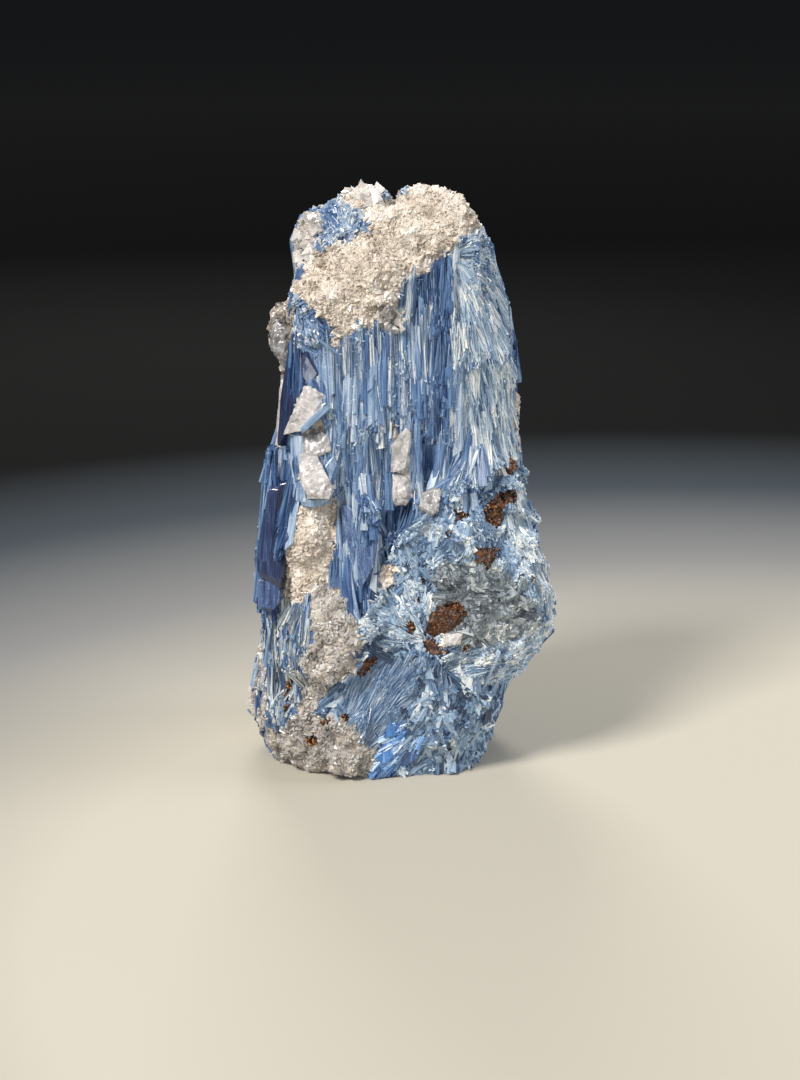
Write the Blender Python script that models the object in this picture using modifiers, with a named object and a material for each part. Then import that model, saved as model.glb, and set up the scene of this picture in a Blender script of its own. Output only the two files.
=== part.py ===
"""Kyanite specimen: blue kyanite blades grown through white quartz, one rock that stands on its flat base.

Sizes are in millimetres and angles in degrees, and MM turns them into Blender's metres.
+Z is up, -Y is the show face, and the origin is the middle of the base.
"""

import math
import random

import bmesh
import bpy
import numpy
from mathutils import Matrix, Vector, noise
from mathutils.bvhtree import BVHTree

MM = 0.001
SEED = 11

ROCK_NAME = "kyanite_specimen"
KYANITE_BLUE = (0.16, 0.29, 0.52, 1.0)
QUARTZ_WHITE = (0.74, 0.69, 0.62, 1.0)

# The trunk, by where its four sides stand at each height: (height, distance from the middle).
TRUNK_TOP = 137.0
TRUNK_FOOT = -8.0  # below the floor, where the rock is cut flat
LEFT_SIDE = (
    (0, -32), (9, -35), (20, -34), (43, -33), (61, -30.5), (78, -28), (100, -26), (124, -24),
    (131, -20), (137, -13),
)
RIGHT_SIDE = (
    (0, 23), (12, 24.5), (30, 27), (62, 27.5), (90, 27), (104, 26), (116, 23.5), (126, 20),
    (132, 16), (137, 8),
)
SHOW_SIDE = (
    (0, -25), (10, -25), (30, -22), (60, -18), (75, -16.5), (108, -16), (124, -12), (132, -8),
    (137, -3),
)
REAR_SIDE = ((0, 24), (15, 27), (45, 28), (80, 25), (105, 21), (124, 16), (132, 12), (137, 6))
SQUARENESS = ((0, 2.3), (45, 3.2), (110, 3.2), (137, 2.4))  # 2 is an oval section, and more is squarer
RING_SIDES = 48
TRUNK_RINGS = 30

# Masses that swell out of the trunk: name, kind, middle, half sizes, lean to the right.
MASSES = (
    ("bulge", "kyanite", (16.5, -7, 40), (21, 19, 23), 12),
    ("bulge_brow", "kyanite", (9, -12, 56), (14, 12.5, 17), 34),
    ("bulge_shoulder", "kyanite", (20.5, -6, 62), (11, 11, 15), 8),
    ("bulge_skirt", "kyanite", (9, -11, 22), (17.5, 15, 19), -4),
    ("foot_right", "kyanite", (7.5, -8, 9), (13, 13, 14), 0),
    ("cap", "quartz", (-5, -6, 121), (27, 11, 9), -28),
    ("cap_corner", "quartz", (-17, -7, 112), (10, 10, 10), 0),
    ("peak", "quartz", (5.5, -1, 129.5), (14.5, 12, 11.5), -12),
    ("left_lobe", "quartz", (-18, -1, 125.5), (8, 11, 10.5), 6),
    ("top_knob", "quartz", (-9, 3, 132), (9, 9, 8.5), 0),
    ("fin", "quartz", (-26.5, 4, 106), (5.8, 10, 8), 4),
    ("wedge_upper", "quartz", (-20, -11, 88), (6, 7, 11), -14),
    ("wedge_lower", "quartz", (-20, -13, 75), (6, 7, 10), 10),
    ("vein", "quartz", (-21.5, -13, 54), (8, 9, 15), -14),
    ("lower_mass", "quartz", (-15.5, -16, 34), (13.5, 11, 15), 14),
    ("base_mass", "quartz", (-17, -11, 9), (19, 16, 13), 0),
    ("left_nub", "quartz", (-29.5, -2, 12), (9, 12, 11), 0),
    ("rear_mass", "quartz", (4, 16, 60), (20, 14, 30), -8),
    ("rear_cap", "quartz", (-6, 8, 117), (17, 11, 15), 12),
    ("rear_foot", "quartz", (-13, 15, 16), (19, 15, 18), 0),
)
QUARTZ_REACH = 1.12  # of a quartz mass's half sizes, where the skin is still quartz
MERGE_GRID = 2.2  # how finely the trunk and its masses are merged into one skin
MERGE_SMOOTH = 3
CORE_FACES = 0.14  # of the merged skin's faces
CORE_WAVES = ((14, 2.4), (5, 1.5))  # (length, height) of the broken skin's swells

# Fields of lumps that break out of the quartz: facing azimuths, heights, how many.
LUMP_FIELDS = (
    {"azimuth": (-160, -40), "height": (110, 134), "count": 6},
    {"azimuth": (-190, -150), "height": (100, 130), "count": 3},
    {"azimuth": (-138, -112), "height": (20, 62), "count": 5},
    {"azimuth": (-150, -80), "height": (3, 18), "count": 5},
    {"azimuth": (40, 150), "height": (8, 128), "count": 6},
)
LUMP_SIZE = (3.5, 7.5)
LUMP_SUNK = 2.5
LUMP_CHIPS = 6
CHIP_DEPTH = (0.6, 0.9)  # of the distance to the rim

# Single large blades: name, middle, (width, thickness, length), facing azimuth, lean, pitch.
LARGE_BLADES = (
    ("dark_blade_lower", (-29.2, -7.0, 59), (19, 10, 42), -156, -4, -6),
    ("dark_blade_edge", (-30.4, -8.0, 44), (13, 9, 20), -150, -5, 3),
    ("dark_blade_upper", (-22.8, -8.5, 94), (17, 10, 34), -150, -4, -4),
    ("dark_blade_rear", (-26.6, 9.0, 68), (16, 8, 52), -192, -4, -4),
    ("quartz_strip", (-26.6, 5.0, 86), (12, 6, 30), -178, -3, -2),
    ("panel_block", (-8.8, -17.4, 56), (11, 7, 27), -92, 3, 0),
    ("ledge_blade_low", (2.6, -19.4, 63), (6, 8, 15), -92, 38, 0),
    ("ledge_blade_mid", (9.5, -18.4, 69.5), (5.5, 8, 17), -80, 58, 0),
    ("ledge_blade_high", (17.5, -14.6, 75), (6, 8, 15), -64, 66, 0),
    ("flash_blade", (-2.5, -22.0, 10), (9, 9, 22), -92, 24, 6),
    ("fan_slab", (18.6, -11.0, 88), (10, 8, 38), -50, 12, 0),
    ("corner_blade", (22.2, -3.0, 101), (9, 9, 36), -12, 4, -5),
)

# Fields of blades on the skin: facing azimuths, heights, how many, lengths, widths, proud, leans.
BLADE_FIELDS = (
    {"azimuth": (-126, -62), "height": (72, 106), "count": 21, "length": (16, 36),
     "width": (3.0, 6.0), "proud": (0.2, 1.4), "lean": (-3, 4)},
    {"azimuth": (-62, -20), "height": (78, 118), "count": 16, "length": (14, 30),
     "width": (3.0, 6.5), "proud": (0.2, 1.6), "lean": (-8, 34)},
    {"azimuth": (-20, 38), "height": (58, 116), "count": 9, "length": (18, 38),
     "width": (4.0, 8.0), "proud": (0.2, 1.4), "lean": (-8, 8)},
    {"azimuth": (42, 138), "height": (14, 112), "count": 21, "length": (16, 40),
     "width": (4.0, 10.0), "proud": (0.4, 2.0), "lean": (-16, 14)},
    {"azimuth": (146, 214), "height": (14, 96), "count": 11, "length": (18, 40),
     "width": (4.0, 10.0), "proud": (0.4, 1.8), "lean": (-8, 6)},
    {"azimuth": (-84, 8), "height": (26, 68), "count": 27, "length": (9, 20),
     "width": (3.0, 7.5), "proud": (0.2, 2.0), "lean": (0, 180)},
    {"azimuth": (-110, -20), "height": (6, 22), "count": 9, "length": (9, 18),
     "width": (3.5, 7.0), "proud": (0.4, 1.8), "lean": (-40, 40)},
)
RAY_START = 100.0
SIDE_STEP = 7.0  # degrees each way, for the skin's way out
BLADE_REACH = 0.8  # of its length, over which a blade follows the skin
BLADE_DEPTH = 7.0
BLADE_FACE = 0.78  # of the width, between its bevelled sides
BLADE_TAPER = (0.55, 0.95)
BLADE_SLANT = (-0.9, 0.9)
BLADE_CHISEL = (0.3, 1.1)

# The dark cleft beside the bulge, and the notch behind the cap: middle, size, lean, turn about the upright.
CLEFTS = (
    ("cleft", (-2.6, -25.5, 52), (4.2, 11, 27), 16, 24),
    ("top_notch", (-2.5, -4.5, 140.5), (5.5, 18, 9), 14, -12),
    ("left_notch", (-30.5, -2.0, 114.0), (5.0, 16, 4.0), -20, 8),
)
FLOOR_BLOCK = 200.0
FLAT_ANGLE = 1.5  # between faces that are taken as one


def clear_scene():
    for item in list(bpy.data.objects):
        bpy.data.objects.remove(item, do_unlink=True)


def make_collection(name):
    group = bpy.data.collections.new(name)
    bpy.context.scene.collection.children.link(group)
    return group


def make_material(name, colour, roughness):
    material = bpy.data.materials.new(name)
    material.use_nodes = True
    shader = material.node_tree.nodes["Principled BSDF"]
    shader.inputs["Base Color"].default_value = colour
    shader.inputs["Roughness"].default_value = roughness
    material.diffuse_color = colour
    return material


def make_object(name, bm, group, material):
    """Turns a bmesh in millimetres into an object in metres, in triangles so that each face is flat."""
    bmesh.ops.triangulate(bm, faces=bm.faces)
    bmesh.ops.recalc_face_normals(bm, faces=bm.faces)
    bm.transform(Matrix.Scale(MM, 4))
    mesh = bpy.data.meshes.new(name)
    bm.to_mesh(mesh)
    bm.free()
    mesh.materials.append(material)
    item = bpy.data.objects.new(name, mesh)
    group.objects.link(item)
    return item


def make_helper(item):
    """A shape that a Boolean uses and no render shows."""
    item.hide_render = True
    item.display_type = "WIRE"
    return item


def side_at(profile, height):
    heights, offsets = zip(*profile)
    return float(numpy.interp(height, heights, offsets))


def squared(share, height):
    return math.copysign(abs(share) ** (2 / side_at(SQUARENESS, height)), share)


def trunk_point(azimuth, height):
    """A point on the trunk's plain skin. Azimuth 0 is the right side and -90 the show face."""
    left, right = side_at(LEFT_SIDE, height), side_at(RIGHT_SIDE, height)
    show, rear = side_at(SHOW_SIDE, height), side_at(REAR_SIDE, height)
    angle = math.radians(azimuth)
    across = (left + right) / 2 + squared(math.cos(angle), height) * (right - left) / 2
    deep = (show + rear) / 2 + squared(math.sin(angle), height) * (rear - show) / 2
    return Vector((across, deep, height))


def skin_point(skin, azimuth, height):
    """Where a level line from outside meets the rock's skin."""
    angle = math.radians(azimuth)
    away = Vector((math.cos(angle), math.sin(angle), 0))
    axis = (trunk_point(azimuth, height) + trunk_point(azimuth + 180, height)) / 2
    return skin.ray_cast(axis + away * RAY_START, -away)[0]


def skin_frame(skin, azimuth, height, reach):
    """The skin's middle over that reach of height, its way out and its way up there."""
    head = skin_point(skin, azimuth, height + reach / 2)
    foot = skin_point(skin, azimuth, max(height - reach / 2, 1))
    along = skin_point(skin, azimuth + SIDE_STEP, height) - skin_point(skin, azimuth - SIDE_STEP, height)
    up = (head - foot).normalized()
    return (head + foot) / 2, along.cross(up).normalized(), up


def shape_trunk(bm):
    """A drum whose rings are drawn out to the four sides."""
    bmesh.ops.create_cone(bm, cap_ends=True, segments=RING_SIDES, radius1=1, radius2=1, depth=2)
    uprights = [e for e in bm.edges if abs(e.verts[0].co.z - e.verts[1].co.z) > 1]
    bmesh.ops.subdivide_edges(bm, edges=uprights, cuts=TRUNK_RINGS - 1, use_grid_fill=True)
    half_tall = (TRUNK_TOP - TRUNK_FOOT) / 2
    for vert in bm.verts:
        azimuth = math.degrees(math.atan2(vert.co.y, vert.co.x))
        vert.co = trunk_point(azimuth, TRUNK_FOOT + half_tall * (1 + vert.co.z))


def mass_matrix(middle, half, lean):
    """Takes a ball of radius 1 to the mass."""
    turn = Matrix.Rotation(math.radians(lean), 4, "Y")
    return Matrix.Translation(Vector(middle)) @ turn @ Matrix.Diagonal((*half, 1))


def in_quartz(point):
    for _, kind, middle, half, lean in MASSES:
        inside = mass_matrix(middle, half, lean).inverted() @ point
        if kind == "quartz" and inside.length < QUARTZ_REACH:
            return True
    return False


def evaluated_mesh(item):
    graph = bpy.context.evaluated_depsgraph_get()
    return bpy.data.meshes.new_from_object(item.evaluated_get(graph))


def swells(point):
    return sum(rise * noise.noise(point / length) for length, rise in CORE_WAVES)


def make_core(group, kyanite, quartz):
    """The trunk and its masses, merged into one rough skin with broken faces."""
    bm = bmesh.new()
    shape_trunk(bm)
    for _, _, middle, half, lean in MASSES:
        bmesh.ops.create_icosphere(bm, subdivisions=3, radius=1, matrix=mass_matrix(middle, half, lean))
    core = make_object(ROCK_NAME, bm, group, kyanite)
    core.data.materials.append(quartz)
    merge = core.modifiers.new("merge", "REMESH")
    merge.mode = "VOXEL"
    merge.voxel_size = MERGE_GRID * MM
    smooth = core.modifiers.new("smooth", "SMOOTH")
    smooth.iterations = MERGE_SMOOTH
    skin = evaluated_mesh(core)
    core.modifiers.clear()
    core.data = skin
    roughened = bmesh.new()
    roughened.from_mesh(skin)
    roughened.normal_update()
    for vert in roughened.verts:
        vert.co += vert.normal * swells(vert.co / MM) * MM
    roughened.to_mesh(skin)
    roughened.free()
    for face in skin.polygons:
        face.material_index = int(in_quartz(face.center / MM))
    broken = core.modifiers.new("broken_faces", "DECIMATE")
    broken.ratio = CORE_FACES
    return core


def skin_tree(item):
    """The skin in millimetres, for finding where a line meets it."""
    bm = bmesh.new()
    bm.from_mesh(evaluated_mesh(item))
    bm.transform(Matrix.Scale(1 / MM, 4))
    tree = BVHTree.FromBMesh(bm)
    bm.free()
    return tree


def chip(bm, rng, half):
    """Cuts a lump back to a flat face, as broken quartz has."""
    out = Vector((rng.gauss(0, 1), rng.gauss(0, 1), rng.gauss(0, 1))).normalized()
    rim = Vector(h * o for h, o in zip(half, out)).length
    point = out * rim * rng.uniform(*CHIP_DEPTH)
    cut = bmesh.ops.bisect_plane(
        bm, geom=bm.verts[:] + bm.edges[:] + bm.faces[:],
        plane_co=point, plane_no=out, clear_outer=True,
    )
    edges = [e for e in cut["geom_cut"] if isinstance(e, bmesh.types.BMEdge)]
    if edges:
        bmesh.ops.holes_fill(bm, edges=edges)


def make_lump_field(number, field, skin, group, material, rng):
    """Chipped lumps that break out of the skin."""
    for index in range(field["count"]):
        azimuth, height = rng.uniform(*field["azimuth"]), rng.uniform(*field["height"])
        size = [rng.uniform(*LUMP_SIZE) for _ in range(3)]
        point, out, _ = skin_frame(skin, azimuth, height, LUMP_SUNK)
        bm = bmesh.new()
        bmesh.ops.create_icosphere(bm, subdivisions=1, radius=1, matrix=Matrix.Diagonal((*size, 1)))
        for _ in range(LUMP_CHIPS):
            chip(bm, rng, size)
        turn = Matrix.Rotation(rng.uniform(0, math.pi), 4, "Z")
        bm.transform(Matrix.Translation(point - out * LUMP_SUNK) @ turn)
        make_helper(make_object(f"lump_{number}_{index}", bm, group, material))


def blade_bmesh(size, taper=1.0, slant=0.0, chisel=0.0):
    """A flat six-sided crystal: width on X, its face on -Y and its length on Z, with broken ends."""
    bm = bmesh.new()
    bmesh.ops.create_cone(bm, cap_ends=True, segments=6, radius1=1, radius2=1, depth=1)
    width, depth, length = size
    rim = math.sin(math.radians(60))
    for vert in bm.verts:
        x, y, z = vert.co
        share = BLADE_FACE if abs(y) > rim / 2 else 1.0
        across = math.copysign(share, x) * width / 2 * (taper if z > 0 else 1.0)
        deep = y / rim * depth / 2
        end = length / 2 + min(chisel * deep, 0)
        vert.co = (across, deep, math.copysign(end, z) + slant * across)
    return bm


def blade_matrix(point, out, up, lean, pitch=0.0):
    """Stands a blade at a point: its flat face looks out, and lean tips its head to the right."""
    across = up.cross(out).normalized()
    tall = out.cross(across).normalized()
    face = Matrix((across, -out, tall)).transposed().to_4x4()
    tip = Matrix.Rotation(math.radians(lean), 4, "Y") @ Matrix.Rotation(math.radians(pitch), 4, "X")
    return Matrix.Translation(point) @ face @ tip


def make_blade(name, size, matrix, group, material, rng):
    shape = rng.uniform(*BLADE_TAPER), rng.uniform(*BLADE_SLANT), rng.uniform(*BLADE_CHISEL)
    bm = blade_bmesh(size, *shape)
    bm.transform(matrix)
    return make_helper(make_object(name, bm, group, material))


def make_large_blades(group, kyanite, quartz, rng):
    for name, middle, size, azimuth, lean, pitch in LARGE_BLADES:
        angle = math.radians(azimuth)
        out = Vector((math.cos(angle), math.sin(angle), 0))
        matrix = blade_matrix(Vector(middle), out, Vector((0, 0, 1)), lean, pitch)
        material = quartz if name.startswith("quartz") else kyanite
        make_blade(name, size, matrix, group, material, rng)


def make_blade_field(number, field, skin, group, material, rng):
    for index in range(field["count"]):
        azimuth, height = rng.uniform(*field["azimuth"]), rng.uniform(*field["height"])
        size = rng.uniform(*field["width"]), BLADE_DEPTH, rng.uniform(*field["length"])
        point, out, up = skin_frame(skin, azimuth, height, size[2] * BLADE_REACH)
        seat = point + out * (rng.uniform(*field["proud"]) - BLADE_DEPTH / 2)
        matrix = blade_matrix(seat, out, up, rng.uniform(*field["lean"]))
        make_blade(f"blade_{number}_{index}", size, matrix, group, material, rng)


def make_cutters(group, material):
    for name, middle, size, lean, turn in CLEFTS:
        bm = blade_bmesh(size, 0.6)
        bm.transform(
            Matrix.Translation(Vector(middle))
            @ Matrix.Rotation(math.radians(turn), 4, "Z")
            @ Matrix.Rotation(math.radians(lean), 4, "Y")
        )
        make_helper(make_object(name, bm, group, material))
    floor = bmesh.new()
    bmesh.ops.create_cube(floor, size=FLOOR_BLOCK)
    bmesh.ops.translate(floor, vec=(0, 0, -FLOOR_BLOCK / 2), verts=floor.verts)
    make_helper(make_object("floor_cut", floor, group, material))


def add_boolean(item, operation, group):
    boolean = item.modifiers.new(operation.lower(), "BOOLEAN")
    boolean.operation = operation
    boolean.operand_type = "COLLECTION"
    boolean.collection = group
    boolean.solver = "EXACT"
    boolean.material_mode = "TRANSFER"


def skin_island(seed):
    """Every face joined to this one, but not across an edge where a pocket touches the skin."""
    found, waiting = {seed}, [seed]
    while waiting:
        for edge in waiting.pop().edges:
            if len(edge.link_faces) != 2:
                continue
            fresh = [face for face in edge.link_faces if face not in found]
            found.update(fresh)
            waiting.extend(fresh)
    return found


def base_middle(bm):
    """The middle of the shape's box, on the floor."""
    across = [vert.co.x for vert in bm.verts]
    deep = [vert.co.y for vert in bm.verts]
    return Vector((min(across) + max(across), min(deep) + max(deep), 0)) / 2


def settle_booleans(item):
    """Applies the Booleans, drops the pockets that crossing blades seal inside the rock, and centres it."""
    solid = evaluated_mesh(item)
    bm = bmesh.new()
    bm.from_mesh(solid)
    lowest = min(bm.faces, key=lambda face: face.calc_center_median().z)
    outer = skin_island(lowest)
    inner = [face for face in bm.faces if face not in outer]
    bmesh.ops.delete(bm, geom=inner, context="FACES")
    bmesh.ops.dissolve_limit(bm, angle_limit=math.radians(FLAT_ANGLE), verts=bm.verts, edges=bm.edges)
    bmesh.ops.triangulate(bm, faces=bm.faces)
    bmesh.ops.translate(bm, vec=-base_middle(bm), verts=bm.verts)
    bm.to_mesh(solid)
    bm.free()
    item.modifiers.clear()
    item.data = solid


def main():
    clear_scene()
    rng = random.Random(SEED)
    rock_group = make_collection("kyanite")
    growths = make_collection("growths")
    cutters = make_collection("cutters")
    kyanite = make_material("kyanite", KYANITE_BLUE, 0.35)
    quartz = make_material("quartz", QUARTZ_WHITE, 0.5)

    rock = make_core(rock_group, kyanite, quartz)
    skin = skin_tree(rock)
    for number, field in enumerate(LUMP_FIELDS, 1):
        make_lump_field(number, field, skin, growths, quartz, rng)
    make_large_blades(growths, kyanite, quartz, rng)
    for number, field in enumerate(BLADE_FIELDS, 1):
        make_blade_field(number, field, skin, growths, kyanite, rng)
    make_cutters(cutters, kyanite)
    add_boolean(rock, "UNION", growths)
    add_boolean(rock, "DIFFERENCE", cutters)
    settle_booleans(rock)


main()
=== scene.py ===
import math

import bmesh
import bpy
import numpy as np
from mathutils import Matrix, Vector, noise
from mathutils.bvhtree import BVHTree
from mathutils.kdtree import KDTree


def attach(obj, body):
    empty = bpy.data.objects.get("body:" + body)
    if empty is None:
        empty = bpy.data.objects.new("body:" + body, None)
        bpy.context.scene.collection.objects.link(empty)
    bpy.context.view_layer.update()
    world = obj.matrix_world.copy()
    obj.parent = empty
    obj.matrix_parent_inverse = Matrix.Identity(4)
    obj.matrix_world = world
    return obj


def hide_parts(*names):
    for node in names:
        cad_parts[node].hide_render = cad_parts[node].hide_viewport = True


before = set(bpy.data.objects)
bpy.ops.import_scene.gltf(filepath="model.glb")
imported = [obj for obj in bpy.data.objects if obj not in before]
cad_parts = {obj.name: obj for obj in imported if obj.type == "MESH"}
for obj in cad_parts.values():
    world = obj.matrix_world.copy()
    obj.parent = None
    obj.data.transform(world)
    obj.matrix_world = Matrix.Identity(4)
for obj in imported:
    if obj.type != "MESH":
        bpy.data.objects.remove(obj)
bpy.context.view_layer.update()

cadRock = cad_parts["kyanite_specimen"]
rng = np.random.default_rng(20)
mm = 0.001  # every size below is in millimetres


# Camera: the photograph's view, 800 x 1080 pixels
photo = {"width": 800, "height": 1080, "pixelsPerTurn": 2200.0}
camera = {"elevation": 15.0, "distance": 550.0, "aim": (0.0, 0.0, 53.2), "sensor": 36.0}


def cameraAxes():
    tip = math.radians(camera["elevation"])
    ahead = np.array((0, math.cos(tip), -math.sin(tip)))
    upward = np.array((0, math.sin(tip), math.cos(tip)))
    eye = np.array(camera["aim"]) - ahead * camera["distance"]
    return eye, ahead, upward


def toPixels(points):
    # where points in millimetres fall in the photograph
    eye, ahead, upward = cameraAxes()
    away = points - eye
    depth = away @ ahead
    across = photo["width"] / 2 + photo["pixelsPerTurn"] * away[:, 0] / depth
    down = photo["height"] / 2 - photo["pixelsPerTurn"] * (away @ upward) / depth
    return np.stack((across, down), axis=1)


def sightLine(pixel):
    # where the camera stands, and the way it looks through this pixel
    eye, ahead, upward = cameraAxes()
    across = (pixel[0] - photo["width"] / 2) / photo["pixelsPerTurn"]
    up = (photo["height"] / 2 - pixel[1]) / photo["pixelsPerTurn"]
    way = ahead + across * np.array((1, 0, 0)) + up * upward
    return Vector(eye), Vector(way).normalized()


def seatAt(pixel):
    # the point of the rock's skin that this pixel shows, and the skin's way out there
    eye, way = sightLine(pixel)
    point, out, _, _ = skinTree.ray_cast(eye, way)
    return point, out


def addObject(name, data):
    item = bpy.data.objects.new(name, data)
    bpy.context.scene.collection.objects.link(item)
    return item


def meshFrom(bm, name):
    mesh = bpy.data.meshes.new(name)
    bm.to_mesh(mesh)
    bm.free()
    return mesh


def makeCamera():
    eye, _, _ = cameraAxes()
    lens = bpy.data.cameras.new("photoView")
    lens.lens = photo["pixelsPerTurn"] / photo["height"] * camera["sensor"]
    lens.sensor_width = camera["sensor"]
    lens.clip_start = 0.01
    holder = addObject("photoView", lens)
    holder.location = Vector(eye) * mm
    holder.rotation_euler = (math.radians(90 - camera["elevation"]), 0, 0)
    bpy.context.scene.camera = holder


# Zones: what grows where. Outlines are in the photograph's pixels, and a later one covers an earlier one
zones = {
    "panel": [(310, 320), (341, 300), (400, 262), (470, 225), (515, 230), (535, 330), (535, 470), (500, 472),
              (440, 497), (395, 530), (340, 520), (325, 420)],
    "fan": [(452, 285), (468, 225), (540, 215), (545, 330), (545, 470), (505, 474), (478, 462), (470, 420),
            (455, 380)],
    "bulge": [(388, 540), (440, 494), (500, 466), (560, 455), (580, 560), (580, 690), (500, 672), (440, 665),
              (378, 650), (362, 610)],
    "bulgeGrey": [(436, 575), (446, 558), (470, 561), (500, 566), (524, 586), (540, 610), (530, 632),
                  (500, 640), (470, 646), (452, 632), (440, 610)],
    "bulgeFan": [(366, 600), (380, 588), (400, 586), (424, 588), (436, 600), (426, 634), (410, 652),
                 (380, 656), (360, 640)],
    "bulgeRim": [(508, 500), (530, 490), (580, 590), (580, 650), (540, 650), (546, 614), (528, 578),
                 (512, 548)],
    "foot": [(300, 690), (372, 640), (440, 658), (500, 670), (580, 690), (540, 800), (340, 800), (300, 745)],
    "bulgeLow": [(440, 658), (470, 650), (500, 645), (536, 640), (580, 640), (560, 695), (500, 684),
                 (450, 674)],
    "footSmooth": [(350, 668), (378, 655), (418, 660), (428, 690), (404, 716), (383, 733), (372, 762),
                   (358, 732), (340, 710)],
    "footFan": [(430, 672), (500, 684), (520, 700), (510, 780), (440, 780), (425, 740), (426, 700)],
    "fanRim": [(512, 372), (560, 372), (560, 452), (517, 452), (512, 420)],
    "deepStreaks": [(440, 250), (452, 262), (454, 330), (450, 400), (436, 482), (416, 478), (426, 400),
                    (432, 320), (352, 350), (362, 338), (374, 350), (372, 420), (352, 420)],
    "crease": [(374, 500), (392, 508), (440, 491), (402, 530), (386, 562), (374, 604), (362, 622), (352, 600),
               (380, 560), (388, 536)],
    "panelBlock": [(341, 506), (374, 503), (390, 536), (384, 556), (368, 600), (346, 590)],
    "glassBlades": [(262, 345), (305, 345), (308, 380), (283, 433), (278, 448), (294, 456), (296, 485),
                    (292, 520), (290, 545), (282, 565), (272, 585), (280, 597), (274, 614), (240, 612),
                    (240, 440)],
    "cap": [(296, 285), (308, 262), (316, 249), (343, 237), (361, 231), (374, 212), (378, 198), (404, 190),
            (420, 176), (445, 180), (470, 190), (500, 208), (484, 228), (464, 235), (449, 251), (431, 266),
            (417, 278), (402, 286), (399, 300), (403, 322), (388, 336), (376, 327), (361, 329), (346, 333),
            (338, 348), (330, 362), (328, 347), (334, 332), (316, 318), (302, 300)],
    "lobe": [(266, 200), (304, 198), (322, 204), (330, 216), (320, 238), (314, 262), (289, 266), (266, 262)],
    "topBlue": [(324, 212), (329, 199), (342, 190), (352, 203), (362, 214), (370, 228), (361, 234),
                (343, 240), (319, 252), (316, 246)],
    "bump": [(340, 199), (352, 180), (380, 178), (380, 190), (375, 208), (369, 219), (358, 213)],
    "peakBlue": [(380, 203), (384, 180), (400, 176), (410, 190), (396, 197)],
    "leftPatch": [(293, 300), (302, 297), (314, 309), (336, 329), (329, 349), (318, 360), (304, 350),
                  (292, 344)],
    "finEdge": [(250, 296), (290, 296), (294, 310), (293, 340), (289, 365), (288, 385), (286, 410),
                (282, 448), (250, 448)],
    "wedgeUpper": [(303, 385), (312, 388), (324, 397), (325, 406), (304, 430), (283, 436), (289, 420),
                   (298, 398)],
    "wedgeMiddle": [(303, 434), (322, 420), (330, 436), (330, 449), (319, 455), (303, 454)],
    "wedgeLower": [(300, 453), (318, 456), (331, 486), (329, 499), (307, 499), (299, 474)],
    "lens": [(389, 415), (398, 418), (411, 434), (414, 470), (415, 489), (405, 505), (394, 505), (391, 474),
             (392, 440)],
    "lensSmall": [(423, 491), (432, 484), (441, 491), (439, 507), (432, 512), (418, 505)],
    "vein": [(300, 507), (316, 503), (338, 500), (343, 518), (342, 540), (330, 565), (327, 583), (314, 592),
             (294, 606), (272, 590), (281, 565), (290, 540), (292, 515)],
    "lowerQuartz": [(309, 598), (322, 583), (347, 592), (347, 610), (363, 621), (365, 641), (356, 675),
                    (329, 688), (318, 708), (300, 719), (294, 708), (309, 677), (296, 663), (314, 641),
                    (311, 614)],
    "leftStreaks": [(240, 602), (281, 597), (306, 606), (311, 630), (311, 642), (296, 663), (309, 677),
                    (294, 708), (282, 728), (262, 735), (240, 700)],
    "leftRim": [(240, 640), (264, 640), (268, 680), (266, 728), (240, 740)],
    "baseQuartz": [(240, 735), (262, 733), (282, 727), (307, 710), (334, 711), (358, 730), (379, 753),
                   (367, 790), (300, 800), (240, 770)],
    "capCorner": [(378, 306), (392, 301), (402, 311), (400, 326), (387, 334), (377, 322)],
    "nub": [(383, 567), (396, 564), (397, 583), (383, 588), (378, 578)],
    "brightSpot": [(441, 634), (452, 630), (464, 634), (460, 645), (444, 646)],
    "flash": [(372, 775), (383, 733), (400, 721), (426, 738), (408, 762), (384, 776)],
}
rustSpots = [
    [(436, 605), (459, 598), (468, 614), (434, 637), (425, 632)],
    [(505, 467), (511, 458), (517, 462), (515, 474), (505, 474)],
    [(483, 511), (499, 491), (515, 491), (512, 503), (503, 508), (501, 527), (490, 525)],
    [(456, 512), (465, 508), (470, 516), (459, 525)],
    [(472, 549), (485, 547), (499, 549), (490, 567), (479, 563)],
    [(425, 641), (436, 639), (441, 648), (450, 650), (447, 655), (425, 652)],
    [(463, 650), (468, 641), (468, 657)],
    [(421, 574), (428, 578), (423, 583)],
    [(406, 623), (413, 620), (417, 628), (411, 635)],
    [(506, 490), (516, 490), (516, 502), (507, 503)],
    [(419, 559), (425, 560), (423, 567), (419, 565)],
    [(447, 532), (452, 532), (451, 537), (447, 536)],
    [(417, 597), (421, 597), (420, 604), (417, 603)],
    [(367, 657), (376, 654), (377, 661), (364, 676), (357, 674)],
    [(287, 680), (293, 676), (291, 698), (285, 700)],
    [(304, 738), (315, 732), (318, 744), (308, 745)],
    [(320, 722), (330, 717), (331, 721), (322, 726)],
    [(342, 714), (350, 714), (350, 720), (343, 721)],
    [(443, 748), (451, 747), (451, 754), (444, 754)],
    [(521, 556), (527, 556), (527, 561), (522, 561)],
    [(531, 574), (535, 575), (535, 580), (532, 580)],
    [(284, 706), (289, 705), (289, 711), (284, 711)],
]
# Quartz out of the photograph's sight: middle and half sizes
rearQuartz = [
    ((4, 20, 60), (17, 12, 26)),
    ((-6, 9, 122), (22, 14, 17)),
    ((-14, 19, 14), (19, 13, 15)),
    ((6, -1, 134), (17, 14, 9)),
    ((26, 10, 96), (7, 9, 12)),
    ((-28, 4, 106), (7, 11, 10)),
    ((-31, 4, 12), (10, 12, 13)),
]
zoneNames = list(zones) + ["rust", "rearQuartz", "rearBlue"]
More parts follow.
